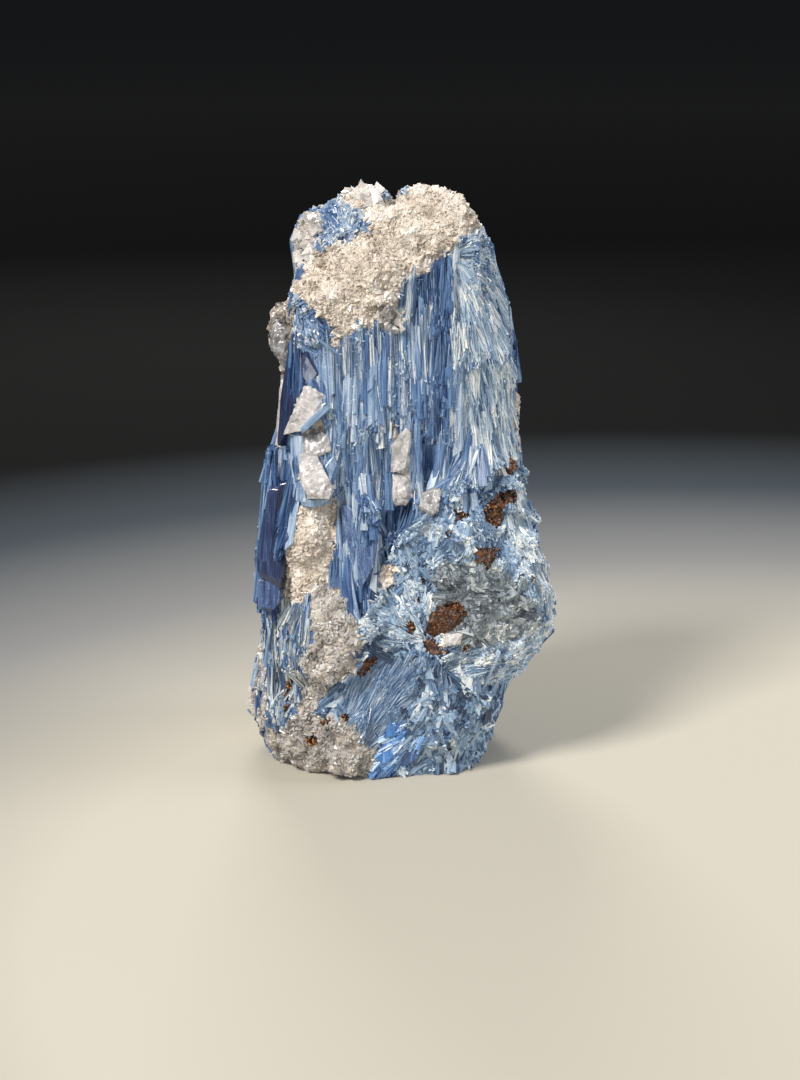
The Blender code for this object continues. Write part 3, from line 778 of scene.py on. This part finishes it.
# Materials
def newNode(tree, kind, **values):
    node = tree.nodes.new(kind)
    for name, value in values.items():
        if hasattr(node, name):
            setattr(node, name, value)
        else:
            node.inputs[name.replace("_", " ")].default_value = value
    return node


def ramp(tree, source, stops):
    node = tree.nodes.new("ShaderNodeValToRGB")
    while len(node.color_ramp.elements) < len(stops):
        node.color_ramp.elements.new(0.5)
    for element, (position, colour) in zip(node.color_ramp.elements, stops):
        element.position = position
        element.color = (*colour, 1)
    tree.links.new(source, node.inputs["Fac"])
    return node.outputs["Color"]


def math2(tree, operation, a, b, clamp=False):
    node = tree.nodes.new("ShaderNodeMath")
    node.operation = operation
    node.use_clamp = clamp
    for socket, value in zip(node.inputs, (a, b)):
        if isinstance(value, (int, float)):
            socket.default_value = value
        else:
            tree.links.new(value, socket)
    return node.outputs[0]


def newGroup(name, inputs, outputs):
    group = bpy.data.node_groups.new(name, "ShaderNodeTree")
    for title, kind in inputs:
        group.interface.new_socket(title, in_out="INPUT", socket_type=kind)
    for title, kind in outputs:
        group.interface.new_socket(title, in_out="OUTPUT", socket_type=kind)
    return group, group.nodes.new("NodeGroupInput"), group.nodes.new("NodeGroupOutput")


def stretchedNoise(tree, coords, scale, detail):
    mapping = newNode(tree, "ShaderNodeMapping", Scale=scale)
    tree.links.new(coords, mapping.inputs["Vector"])
    texture = newNode(tree, "ShaderNodeTexNoise", Scale=1.0, Detail=detail)
    tree.links.new(mapping.outputs[0], texture.inputs["Vector"])
    return texture.outputs["Fac"]


def newMaterial(name):
    material = bpy.data.materials.new(name)
    material.use_nodes = True
    return material, material.node_tree, material.node_tree.nodes["Principled BSDF"]


def swing(tree, value, strength):
    # a noise about its middle, made weaker or stronger
    return math2(tree, "MULTIPLY", math2(tree, "SUBTRACT", value, 0.5), strength)


def scaled(tree, value, strength, start):
    return math2(tree, "ADD", math2(tree, "MULTIPLY", value, strength), start)


def addBump(tree, shader, height, strength, distance):
    bump = newNode(tree, "ShaderNodeBump", Strength=strength, Distance=distance)
    tree.links.new(height, bump.inputs["Height"])
    tree.links.new(bump.outputs[0], shader.inputs["Normal"])


def setSockets(shader, values):
    for socket, value in values.items():
        shader.inputs[socket].default_value = value


fibreMarks = {"broad": (1.3, 1.3, 0.07), "fine": (6.0, 6.0, 0.25), "cracks": (0.5, 0.5, 2.2),
              "broadSwing": 0.9, "fineSwing": 0.6, "crackFrom": 0.62, "crackSwing": 1.6, "tipPower": 6,
              "tipSwing": 0.16, "broadHeight": 0.7, "fineHeight": 0.5, "roughSwing": 0.35, "roughFrom": 0.16}


def makeFibreGroup():
    # streaks that run along a blade, pale at its broken ends
    marks = fibreMarks
    tree, inside, outside = newGroup(
        "bladeFibre",
        [("Grain", "NodeSocketVector"), ("Tone", "NodeSocketFloat"), ("Ends", "NodeSocketFloat"),
         ("Contrast", "NodeSocketFloat")],
        [("Shade", "NodeSocketFloat"), ("Height", "NodeSocketFloat"), ("Roughness", "NodeSocketFloat")],
    )
    grain, tone, ends, contrast = (inside.outputs[n] for n in ("Grain", "Tone", "Ends", "Contrast"))
    broad = stretchedNoise(tree, grain, marks["broad"], 3)
    fine = stretchedNoise(tree, grain, marks["fine"], 2)
    cracks = stretchedNoise(tree, grain, marks["cracks"], 2)
    change = swing(tree, broad, marks["broadSwing"])
    change = math2(tree, "ADD", change, swing(tree, fine, marks["fineSwing"]))
    crack = math2(tree, "SUBTRACT", cracks, marks["crackFrom"], clamp=True)
    change = math2(tree, "ADD", change, math2(tree, "MULTIPLY", crack, marks["crackSwing"]))
    shade = math2(tree, "ADD", tone, math2(tree, "MULTIPLY", change, contrast))
    tip = math2(tree, "MULTIPLY", math2(tree, "POWER", ends, marks["tipPower"]), marks["tipSwing"])
    tree.links.new(math2(tree, "ADD", shade, tip, clamp=True), outside.inputs["Shade"])
    fineHeight = math2(tree, "MULTIPLY", fine, marks["fineHeight"])
    tree.links.new(scaled(tree, broad, marks["broadHeight"], fineHeight), outside.inputs["Height"])
    tree.links.new(scaled(tree, fine, marks["roughSwing"], marks["roughFrom"]), outside.inputs["Roughness"])
    return tree


blueStops = [(0.0, (0.010, 0.024, 0.080)), (0.20, (0.030, 0.070, 0.190)), (0.40, (0.088, 0.172, 0.340)),
             (0.55, (0.185, 0.290, 0.460)), (0.72, (0.350, 0.450, 0.580)), (0.88, (0.580, 0.640, 0.700)),
             (1.0, (0.860, 0.860, 0.830))]
paleStops = [(0.0, (0.014, 0.028, 0.070)), (0.20, (0.045, 0.088, 0.180)), (0.40, (0.125, 0.215, 0.350)),
             (0.55, (0.240, 0.355, 0.505)), (0.72, (0.410, 0.520, 0.635)), (0.88, (0.630, 0.705, 0.755)),
             (1.0, (0.890, 0.890, 0.850))]
greyStops = [(0.0, (0.020, 0.026, 0.035)), (0.20, (0.060, 0.075, 0.095)), (0.40, (0.150, 0.180, 0.210)),
             (0.55, (0.275, 0.320, 0.350)), (0.72, (0.440, 0.480, 0.490)), (0.88, (0.640, 0.660, 0.640)),
             (1.0, (0.860, 0.850, 0.790))]
glassStops = [(0.0, (0.006, 0.010, 0.032)), (0.25, (0.016, 0.028, 0.085)), (0.45, (0.050, 0.090, 0.210)),
              (0.62, (0.140, 0.220, 0.380)), (0.82, (0.340, 0.430, 0.550)), (1.0, (0.700, 0.740, 0.760))]
# bright blue: partly the crystals' own vivid blue, taken up to near white as a painted reflection off the
# cleavage faces
paintedReflectionStops = [(0.0, (0.008, 0.026, 0.090)), (0.35, (0.034, 0.095, 0.260)), (0.55, (0.080, 0.220, 0.520)),
              (0.8, (0.260, 0.470, 0.800)), (1.0, (0.750, 0.860, 0.960))]


bladeSockets = {"IOR": 1.6, "Coat Roughness": 0.08, "Subsurface Weight": 0.12,
                "Subsurface Radius": (0.3, 0.6, 1.0), "Subsurface Scale": 0.0012}
bladeBump = (0.5, 0.00012)


def makeBladeMaterial(name, stops, roughness=0.0, coat=0.0, contrast=1.0):
    material, tree, shader = newMaterial(name)
    fibre = tree.nodes.new("ShaderNodeGroup")
    fibre.node_tree = fibreGroup
    for socket, output in (("Grain", "Vector"), ("Tone", "Fac"), ("Ends", "Fac")):
        read = newNode(tree, "ShaderNodeAttribute", attribute_name=socket.lower())
        tree.links.new(read.outputs[output], fibre.inputs[socket])
    fibre.inputs["Contrast"].default_value = contrast
    tree.links.new(ramp(tree, fibre.outputs["Shade"], stops), shader.inputs["Base Color"])
    tree.links.new(math2(tree, "ADD", fibre.outputs["Roughness"], roughness), shader.inputs["Roughness"])
    addBump(tree, shader, fibre.outputs["Height"], *bladeBump)
    setSockets(shader, {**bladeSockets, "Coat Weight": coat})
    return material


creamStops = [(0.0, (0.120, 0.098, 0.078)), (0.3, (0.420, 0.355, 0.290)), (0.55, (0.690, 0.610, 0.520)),
              (0.8, (0.860, 0.800, 0.720)), (1.0, (0.960, 0.950, 0.910))]
clearStops = [(0.0, (0.110, 0.104, 0.100)), (0.3, (0.340, 0.320, 0.300)), (0.55, (0.600, 0.568, 0.535)),
              (0.8, (0.820, 0.790, 0.760)), (1.0, (0.960, 0.950, 0.935))]
glassQuartzStops = [(0.0, (0.110, 0.115, 0.120)), (0.3, (0.300, 0.300, 0.300)), (0.55, (0.560, 0.545, 0.545)),
                    (0.8, (0.840, 0.785, 0.780)), (1.0, (0.980, 0.960, 0.955))]


quartzSockets = {"IOR": 1.54, "Subsurface Radius": (1.0, 0.85, 0.65), "Subsurface Scale": 0.0006}
quartzMarks = {"cloud": (260, 260, 260), "speck": (1500, 1500, 1500), "fold": (330, 330, 230),
               "crackThin": 22, "roughSwing": 0.3, "bump": (0.5, 0.0002)}


def makeQuartzMaterial(name, stops, subsurface, roughness, transmission=0.0, speckle=0.3, veins=0.0):
    # clouded and speckled, with pale fracture lines where veins isn't nought
    marks = quartzMarks
    material, tree, shader = newMaterial(name)
    coords = tree.nodes.new("ShaderNodeTexCoord").outputs["Object"]
    tone = newNode(tree, "ShaderNodeAttribute", attribute_name="tone").outputs["Fac"]
    cloud = stretchedNoise(tree, coords, marks["cloud"], 3)
    speck = stretchedNoise(tree, coords, marks["speck"], 2)
    veil = math2(tree, "SUBTRACT", cloud, 0.5)
    shade = math2(tree, "ADD", tone, math2(tree, "ADD", veil, swing(tree, speck, speckle)))
    fold = math2(tree, "SUBTRACT", stretchedNoise(tree, coords, marks["fold"], 3), 0.5)
    fold = math2(tree, "ABSOLUTE", fold, 0)
    crack = math2(tree, "SUBTRACT", 1, math2(tree, "MULTIPLY", fold, marks["crackThin"]), clamp=True)
    vein = math2(tree, "MULTIPLY", crack, veins)
    shade = math2(tree, "ADD", shade, vein, clamp=True)
    tree.links.new(ramp(tree, shade, stops), shader.inputs["Base Color"])
    tree.links.new(scaled(tree, speck, marks["roughSwing"], roughness), shader.inputs["Roughness"])
    addBump(tree, shader, math2(tree, "SUBTRACT", speck, vein), *marks["bump"])
    setSockets(shader, quartzSockets)
    setSockets(shader, {"Transmission Weight": transmission, "Subsurface Weight": subsurface})
    return material


rustStops = [(0.0, (0.008, 0.004, 0.002)), (0.35, (0.032, 0.012, 0.006)), (0.6, (0.130, 0.042, 0.012)),
             (0.78, (0.360, 0.140, 0.034)), (1.0, (0.750, 0.420, 0.150))]


rustMarks = {"cloud": (1800, 1800, 1800), "patches": 1.8, "rough": (0.5, 0.15), "bump": (0.8, 0.0003)}


def makeRustMaterial():
    marks = rustMarks
    material, tree, shader = newMaterial("ironOxide")
    coords = tree.nodes.new("ShaderNodeTexCoord").outputs["Object"]
    tone = newNode(tree, "ShaderNodeAttribute", attribute_name="tone").outputs["Fac"]
    cloud = stretchedNoise(tree, coords, marks["cloud"], 3)
    shade = math2(tree, "ADD", tone, swing(tree, cloud, marks["patches"]), clamp=True)
    tree.links.new(ramp(tree, shade, rustStops), shader.inputs["Base Color"])
    tree.links.new(scaled(tree, cloud, *marks["rough"]), shader.inputs["Roughness"])
    addBump(tree, shader, cloud, *marks["bump"])
    return material


skinMarks = {"streak": (1200, 1200, 90), "cloud": (500, 500, 500), "creaseShadeAndDeepBlue": 0.3, "paintedGapShade": 0.6,
             "cloudLevel": 0.55, "rough": (0.4, 0.3), "bump": (0.6, 0.0002)}


def makeBodyMaterial():
    # blue fibres, darkened all over as painted shade in the gaps between the blades, with quartz and rust
    # where the masks say
    marks = skinMarks
    material, tree, shader = newMaterial("rockSkin")
    coords = tree.nodes.new("ShaderNodeTexCoord").outputs["Object"]
    quartz, light, rust, deep = (newNode(tree, "ShaderNodeAttribute", attribute_name=n).outputs["Fac"]
                                 for n in ("quartzMask", "paleness", "rustMask", "creaseShadeAndDeepBlueMask"))
    streak = stretchedNoise(tree, coords, marks["streak"], 3)
    cloud = stretchedNoise(tree, coords, marks["cloud"], 3)
    # the skin is darker in the crease as painted shade, and under the glassy blades and the block as their
    # own deep blue
    shade = math2(tree, "MULTIPLY", deep, marks["creaseShadeAndDeepBlue"])
    tone = math2(tree, "SUBTRACT", streak, shade, clamp=True)
    # the blue is kept dark as painted shade, so the skin between the blades reads as shadowed gaps
    blue = ramp(tree, math2(tree, "MULTIPLY", tone, marks["paintedGapShade"]), blueStops)
    paler = math2(tree, "ADD", light, math2(tree, "SUBTRACT", cloud, marks["cloudLevel"]), clamp=True)
    pale = ramp(tree, paler, creamStops)
    brown = ramp(tree, cloud, rustStops)
    for mask, over in ((quartz, pale), (rust, brown)):
        mix = tree.nodes.new("ShaderNodeMix")
        mix.data_type = "RGBA"
        tree.links.new(mask, mix.inputs["Factor"])
        tree.links.new(blue, mix.inputs[6])
        tree.links.new(over, mix.inputs[7])
        blue = mix.outputs[2]
    tree.links.new(blue, shader.inputs["Base Color"])
    tree.links.new(scaled(tree, cloud, *marks["rough"]), shader.inputs["Roughness"])
    addBump(tree, shader, math2(tree, "ADD", streak, cloud), *marks["bump"])
    return material


# Kyanite: how each zone's blades grow
fibreLook = {"lean": (-3, 3), "pitch": (-2, 2), "roll": (-30, 30), "follow": 0.8, "taper": (0.1, 0.9),
             "slant": (-0.9, 0.9), "streak": 0.46, "streakWidth": 1.2, "streakRun": 14, "toneSpread": 0.12,
             "thick": (0.3, 0.8), "relief": 1.0, "paintedLumpShading": 0.0, "shapes": fibres, "stray": 0.04,
             "lengthSpread": (0.6, 1)}
sheafLook = {**fibreLook, "lean": (-5, 5), "pitch": (-4, 4), "streakRun": 1, "streakWidth": 2.5,
             "sheafBlur": 0.3, "sheafTone": 0.10, "relief": 0.0, "paintedLumpShading": 0.22, "thick": (0.25, 0.6),
             "streak": 0.3, "toneSpread": 0.10, "sheafLean": (-60, 60), "sheafPitch": (-9, 9)}
plateLook = {**sheafLook, "shapes": crystals, "length": (2.5, 7), "width": (1.0, 2.8), "proud": (-0.55, 0.0),
             "thick": (0.4, 0.9), "roll": (-18, 18), "toneSpread": 0.06}
rayLook = {**fibreLook, "lean": (-9, 9), "pitch": (-5, 5), "relief": 0.0, "paintedLumpShading": 0.2, "streak": 0.35,
           "streakRun": 1, "streakWidth": 1.6, "length": (2.5, 9), "width": (0.22, 0.75),
           "proud": (-0.35, 0.25), "fanShare": 1.0}
leftLook = {**fibreLook, "zones": ("leftStreaks",), "width": (0.22, 0.9), "lean": (-12, 4), "streakRun": 8}
rearLook = {**fibreLook, "zones": ("rearBlue",), "sheaves": 60, "sheafBlur": 0.6, "sheafLean": (-9, 9),
            "sheafPitch": (-4, 4), "sheafTone": 0.08, "look": "blue"}
patchZones = ("leftPatch", "topBlue", "peakBlue")
bladeFamilies = {
    "panelFibres": {**fibreLook, "zones": ("panel",), "count": 12500, "length": (3, 14),
                    "width": (0.2, 0.62), "proud": (-0.4, 0.2), "tone": 0.46, "look": "blue"},
    "panelCrystals": {**fibreLook, "zones": ("panel", "panelBlock"), "count": 420, "shapes": crystals,
                      "length": (7, 22), "width": (1.0, 2.6), "thick": (1.0, 1.8), "proud": (-0.7, -0.1),
                      "tone": 0.38, "look": "blue"},
    "deepFibres": {**fibreLook, "zones": ("deepStreaks",), "count": 2600, "length": (4, 15),
                   "width": (0.22, 0.75), "proud": (-0.6, -0.05), "tone": 0.20, "streak": 0.3,
                   "look": "blue"},
    # dark fibres: in the crease the darkness is painted shade, on the block it is deep blue of its own
    "creaseFibres": {**fibreLook, "zones": ("crease", "panelBlock"), "count": 1100,
                     "length": (4, 12), "width": (0.3, 1.0), "proud": (-0.7, 0.2), "tone": 0.22,
                     "lean": (-6, 14), "streak": 0.25, "look": "blue"},
    "glassFibres": {**fibreLook, "zones": ("glassBlades",), "count": 500, "length": (8, 28),
                    "width": (0.4, 1.8), "thick": (0.5, 1.2), "proud": (0.0, 0.8), "tone": 0.15,
                    "streak": 0.24, "streakWidth": 2.0, "roll": (-12, 12), "stray": 0.0, "look": "blue"},
    "fanFibres": {**fibreLook, "zones": ("fan",), "count": 7500, "length": (2.5, 10),
                  "width": (0.22, 0.75), "proud": (-0.4, 0.25), "tone": 0.58, "lean": (-10, 10),
                  "pitch": (-5, 5), "fanFrom": (452, 262), "fanShare": 0.75, "streakRun": 4,
                  "streakWidth": 1.8, "look": "pale"},
    "bulgePlates": {**plateLook, "zones": ("bulge",), "count": 700, "tone": 0.42, "sheaves": 60,
                    "look": "pale"},
    "bulgeSplinters": {**sheafLook, "zones": ("bulge",), "count": 3600, "length": (1.5, 5),
                       "width": (0.22, 0.8), "proud": (-0.35, 0.2), "tone": 0.41, "sheaves": 80,
                       "look": "pale"},
    "bulgeRays": {**rayLook, "zones": ("bulgeFan",), "count": 1700, "length": (2, 6), "lean": (-20, 20),
                  "tone": 0.54, "fanFrom": (430, 642), "look": "pale"},
    "rimRays": {**rayLook, "zones": ("bulgeRim",), "count": 2800, "length": (2.5, 9), "tone": 0.64,
                "lean": (-8, 8), "pitch": (-3, 3), "fanFrom": (480, 420), "look": "pale"},
    "lowRays": {**rayLook, "zones": ("bulgeLow",), "count": 1900, "length": (2, 7), "lean": (-14, 14),
                "tone": 0.54, "fanFrom": (380, 690), "look": "pale"},
    # high tone: the crystals' own vivid blue brightened as a painted reflection
    "flashBlades": {**plateLook, "zones": ("flash",), "count": 240, "length": (2.5, 6), "width": (0.3, 1.3),
                    "proud": (-0.3, 0.5), "tone": 0.62, "streak": 0.5, "sheaves": 6, "sheafLean": (-8, 8),
                    "fanFrom": (440, 705), "fanShare": 1.0, "look": "flash"},
    "greyPlates": {**plateLook, "zones": ("bulgeGrey",), "count": 460, "width": (1.4, 3.6), "tone": 0.29,
                   "proud": (-0.45, 0.15), "sheaves": 30, "sheafLean": (0, 360), "look": "grey"},
    "greySplinters": {**sheafLook, "zones": ("bulgeGrey",), "count": 1400, "length": (1.5, 5),
                      "width": (0.2, 0.6), "proud": (-0.4, 0.2), "tone": 0.40, "sheaves": 40,
                      "sheafLean": (0, 360), "look": "grey"},
    "footPlates": {**plateLook, "zones": ("foot", "footFan"), "count": 1250, "length": (3, 9),
                   "width": (1.2, 3.2), "proud": (-0.45, 0.25), "tone": 0.24, "paintedLumpShading": 0.35,
                   "toneSpread": 0.09, "sheaves": 60, "look": "pale"},
    "footSplinters": {**sheafLook, "zones": ("foot",), "count": 1500, "length": (1.5, 6), "paintedLumpShading": 0.35,
                      "width": (0.22, 0.8), "proud": (-0.35, 0.2), "tone": 0.25, "sheaves": 50,
                      "look": "pale"},
    "footRays": {**rayLook, "zones": ("footFan",), "count": 1400, "length": (2, 7), "width": (0.25, 1.0),
                 "lean": (-14, 14), "tone": 0.31, "paintedLumpShading": 0.35, "fanFrom": (440, 640), "look": "pale"},
    "smoothRays": {**rayLook, "zones": ("footSmooth",), "count": 3600, "tone": 0.43, "lean": (-6, 6),
                   "width": (0.2, 0.55), "proud": (-0.3, 0.05), "pitch": (-2, 2), "streak": 0.16,
                   "toneSpread": 0.05, "fanFrom": (320, 790), "look": "blue"},
    "leftFibres": {**leftLook, "count": 1000, "length": (3, 11), "proud": (-0.4, 0.2), "tone": 0.36,
                   "streak": 0.6, "look": "blue"},
    "leftGreyFibres": {**leftLook, "count": 1300, "length": (3, 9), "proud": (-0.4, 0.3), "tone": 0.48,
                       "streak": 0.75, "streakWidth": 2.0, "look": "grey"},
    "patchSplinters": {**sheafLook, "zones": patchZones, "count": 2000, "length": (2, 7),
                       "width": (0.25, 0.9), "proud": (-0.35, 0.2), "tone": 0.46, "sheaves": 24,
                       "look": "blue"},
    "patchPlates": {**plateLook, "zones": patchZones, "count": 260, "tone": 0.48, "sheaves": 24,
                    "look": "blue"},
    "rearFibres": {**rearLook, "count": 10000, "length": (4, 14), "width": (0.3, 1.0),
                   "proud": (-0.4, 0.25), "tone": 0.44, "streakRun": 10, "streakWidth": 2.0},
    "rearCrystals": {**rearLook, "count": 700, "shapes": crystals, "length": (8, 26), "width": (1.4, 4.0),
                     "thick": (1.0, 2.0), "proud": (-0.8, -0.1), "tone": 0.38},
}

# Quartz: the grains of each zone
grainLook = {"size": (0.9, 2.8), "sizeSpread": (0.6, 1.3), "sunk": (0.18, 0.55), "toneSpread": 0.05,
             "paintedLumpShading": 0.08, "patch": 0.2, "patchSize": 5.0}
quartzFamilies = {
    "capGrains": {**grainLook, "zones": ("cap", "nub", "brightSpot", "bump"), "count": 7000, "look": "cream"},
    "veinGrains": {**grainLook, "zones": ("vein", "fanRim"), "count": 1800, "look": "cream"},
    "lowerGrains": {**grainLook, "zones": ("baseQuartz", "lowerQuartz", "leftRim"), "count": 3800,
                    "size": (0.9, 3.0), "look": "clear"},
    "rearGrains": {**grainLook, "zones": ("rearQuartz",), "count": 5500, "sunk": (0.2, 0.6),
                   "look": "cream"},
    "clearGrains": {**grainLook, "count": 900, "sunk": (0.2, 0.6), "look": "clear",
                    "zones": ("lobe", "finEdge", "wedgeUpper", "wedgeMiddle", "wedgeLower", "lens",
                              "lensSmall")},
    "lobeGrains": {**grainLook, "zones": ("lobe", "bump"), "count": 150, "size": (2.6, 6.0),
                   "sunk": (0.15, 0.4), "toneSpread": 0.06, "look": "clear"},
    "cornerGrains": {**grainLook, "zones": ("capCorner",), "count": 26, "size": (2.6, 5.0),
                     "sunk": (-0.1, 0.3), "look": "clear"},
}
# Kyanite broken to crumbs, between the sheaves
crumbLook = {**grainLook, "size": (0.6, 2.0), "sunk": (-0.05, 0.4), "toneSpread": 0.10, "paintedLumpShading": 0.3,
             "patch": 0.3, "patchSize": 2.5}
crumbFamilies = {
    "bulgeCrumbs": {**crumbLook, "zones": ("bulge", "bulgeFan"), "count": 3000, "tone": 0.50, "look": "pale"},
    "rimCrumbs": {**crumbLook, "zones": ("bulgeRim", "bulgeLow"), "count": 1300, "tone": 0.64,
                  "look": "pale"},
    "greyCrumbs": {**crumbLook, "zones": ("bulgeGrey",), "count": 1300, "tone": 0.42, "look": "grey"},
    "footCrumbs": {**crumbLook, "zones": ("foot", "footFan"), "count": 1700, "tone": 0.34, "look": "pale"},
    "patchCrumbs": {**crumbLook, "zones": patchZones, "count": 900, "tone": 0.56, "look": "blue"},
    "panelCrumbs": {**crumbLook, "zones": ("panel",), "count": 1300, "size": (0.4, 1.1), "sunk": (-0.4, 0.1),
                    "tone": 0.58, "look": "pale"},
}
rustSpec = {"seed": 7, "perPixel": 0.9, "least": 4, "size": (0.4, 1.2), "sizeSpread": (0.7, 1.25),
            "sunk": (-0.6, 0.2), "tone": 0.42, "toneSpread": 0.2, "specks": 260, "speckSize": (0.2, 0.5),
            "speckZones": ("cap", "lowerQuartz", "foot", "bulge", "rearQuartz")}


# Surroundings: a floor whose colour is a painted pool of light, pale round the stone and fading into a dark
# room, and soft lights
studio = {"floorSize": 30.0, "paintedLightCentre": (-0.1, 0.1, 0.0), "paintedLightReach": (0.0, 2.5),
          "floor": ((0.07, (0.50, 0.47, 0.40)), (0.11, (0.21, 0.21, 0.21)), (0.15, (0.05, 0.06, 0.07)),
                    (0.19, (0.01, 0.01, 0.01)), (0.35, (0.01, 0.01, 0.01)), (1.0, (0.04, 0.04, 0.04))),
          "floorSockets": {"Roughness": 0.8, "Specular IOR Level": 0.0}, "lightsAim": (0, 0, 0.06),
          "air": (0.84, 0.88, 0.95), "airStrength": 0.22, "room": (0.006, 0.0062, 0.007),
          "lights": (("key", (-0.75, -0.80, 1.15), 0.44, 28.5, (1.0, 0.96, 0.90)),
                     ("front", (0.20, -0.80, 0.30), 0.30, 1.5, (0.95, 0.97, 1.0)),
                     ("fill", (0.66, 0.00, 0.34), 0.30, 2.2, (0.95, 0.97, 1.0)),
                     ("rear", (-0.10, 0.70, 0.46), 0.30, 4.5, (1.0, 0.98, 0.95)))}


def makeAir():
    # a pale sky that only lights, and a dark room that the camera sees
    world = bpy.data.worlds.new("softAir")
    world.use_nodes = True
    tree = world.node_tree
    air = tree.nodes["Background"]
    air.inputs["Color"].default_value = (*studio["air"], 1)
    air.inputs["Strength"].default_value = studio["airStrength"]
    room = tree.nodes.new("ShaderNodeBackground")
    room.inputs["Color"].default_value = (*studio["room"], 1)
    path = tree.nodes.new("ShaderNodeLightPath")
    mix = tree.nodes.new("ShaderNodeMixShader")
    tree.links.new(path.outputs["Is Camera Ray"], mix.inputs[0])
    tree.links.new(air.outputs[0], mix.inputs[1])
    tree.links.new(room.outputs[0], mix.inputs[2])
    tree.links.new(mix.outputs[0], tree.nodes["World Output"].inputs["Surface"])
    bpy.context.scene.world = world


def makeFloorMaterial():
    material, tree, shader = newMaterial("paintedLightFloor")
    coords = tree.nodes.new("ShaderNodeTexCoord").outputs["Object"]
    centred = newNode(tree, "ShaderNodeMapping", Location=studio["paintedLightCentre"])
    tree.links.new(coords, centred.inputs["Vector"])
    away = newNode(tree, "ShaderNodeVectorMath", operation="LENGTH")
    tree.links.new(centred.outputs[0], away.inputs[0])
    far = newNode(tree, "ShaderNodeMapRange")
    far.inputs["From Min"].default_value, far.inputs["From Max"].default_value = studio["paintedLightReach"]
    tree.links.new(away.outputs["Value"], far.inputs["Value"])
    # painted light: the colour is pale near the centre and darkens with distance, standing in for the lamps'
    # falloff
    colour = ramp(tree, far.outputs[0], studio["floor"])
    tree.links.new(colour, shader.inputs["Base Color"])
    setSockets(shader, studio["floorSockets"])
    return material


def makeStudio():
    makeAir()
    for name, place, size, power, colour in studio["lights"]:
        lamp = bpy.data.lights.new(name, "AREA")
        lamp.size = size
        lamp.energy = power
        lamp.color = colour
        holder = addObject(name, lamp)
        holder.location = place
        aim = Vector(studio["lightsAim"]) - Vector(place)
        holder.rotation_euler = aim.to_track_quat("-Z", "Y").to_euler()
    bm = bmesh.new()
    bmesh.ops.create_grid(bm, x_segments=1, y_segments=1, size=studio["floorSize"] / 2)
    floor = addObject("floor", meshFrom(bm, "floor"))
    floor.data.materials.append(makeFloorMaterial())
    bpy.context.scene.view_settings.view_transform = "Standard"


makeCamera()
makeStudio()
print("camera and studio")

rockBody, calmSkin = makeRockBody()
skinPoints, skinNormals, skinCorners = readMesh(calmSkin)
edgeA = skinPoints[skinCorners[:, 1]] - skinPoints[skinCorners[:, 0]]
edgeB = skinPoints[skinCorners[:, 2]] - skinPoints[skinCorners[:, 0]]
skinAreas = np.linalg.norm(np.cross(edgeA, edgeB), axis=1) / 2
skinAreas[skinPoints[skinCorners[:, 0], 2] < body["bareBelow"]] = 0  # nothing grows under the base
skinZones = zonesOf(skinPoints, skinNormals)
plainNormals = skinNormals
skinLumps = lumpRelief(skinPoints, skinZones)
calmSkin.vertices.foreach_set("co", ((skinPoints + skinNormals * skinLumps[:, None]) * mm).ravel())
calmSkin.update()
skinPoints, skinNormals, skinCorners = readMesh(calmSkin)
skinTree = BVHTree.FromPolygons(skinPoints.tolist(), skinCorners.tolist())
print("skin", len(skinPoints), "points")

fibreGroup = makeFibreGroup()
bladeLooks = {"blue": makeBladeMaterial("blueKyanite", blueStops, roughness=-0.05),
              "pale": makeBladeMaterial("paleKyanite", paleStops, roughness=-0.02),
              "grey": makeBladeMaterial("greyKyanite", greyStops, roughness=0.02),
              "flash": makeBladeMaterial("kyaniteWithPaintedReflection", paintedReflectionStops, roughness=-0.12, coat=1.0)}
glassy = {"roughness": -0.06, "coat": 0.6}
slabLooks = {"deep": makeBladeMaterial("glassyKyanite", glassStops, contrast=0.8, **glassy),
             "pale": makeBladeMaterial("paleGlassKyanite", paleStops, contrast=0.7, **glassy),
             "grey": makeBladeMaterial("greyGlassKyanite", greyStops, contrast=0.7, **glassy),
             "flash": bladeLooks["flash"]}
quartzLooks = {"cream": makeQuartzMaterial("creamQuartz", creamStops, 0.15, 0.14),
               "clear": makeQuartzMaterial("clearQuartz", clearStops, 0.15, 0.10),
               "glass": makeQuartzMaterial("glassQuartz", glassQuartzStops, 0.1, 0.02, transmission=0.3,
                                           speckle=0.5, veins=0.3)}
rustMaterial = makeRustMaterial()

tagBody(rockBody, skinZones)
roughenBody(rockBody, skinZones, plainNormals, skinLumps)
rockBody.data.materials.clear()
rockBody.data.materials.append(makeBodyMaterial())
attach(rockBody, "root")
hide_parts("kyanite_specimen")
print("rockBody", len(rockBody.data.polygons), "faces")

for slabName, slab in blueSlabs.items():
    makeSlab(slabName, {**blueBase, **slab}, slabLooks[slab.get("look", "deep")])
for slabName, slab in clearSlabs.items():
    makeSlab(slabName, {**clearBase, **slab}, quartzLooks["glass"])
for slabName, slab in rustSlabs.items():
    makeSlab(slabName, {**rustBase, **slab}, rustMaterial)
for familyName, family in bladeFamilies.items():
    growBlades(familyName, family, bladeLooks[family["look"]])
for familyName, family in quartzFamilies.items():
    growGrains(familyName, family, quartzLooks[family["look"]])
for familyName, family in crumbFamilies.items():
    growGrains(familyName, family, bladeLooks[family["look"]])
growRust("rustCrumbs", rustSpec, rustMaterial)
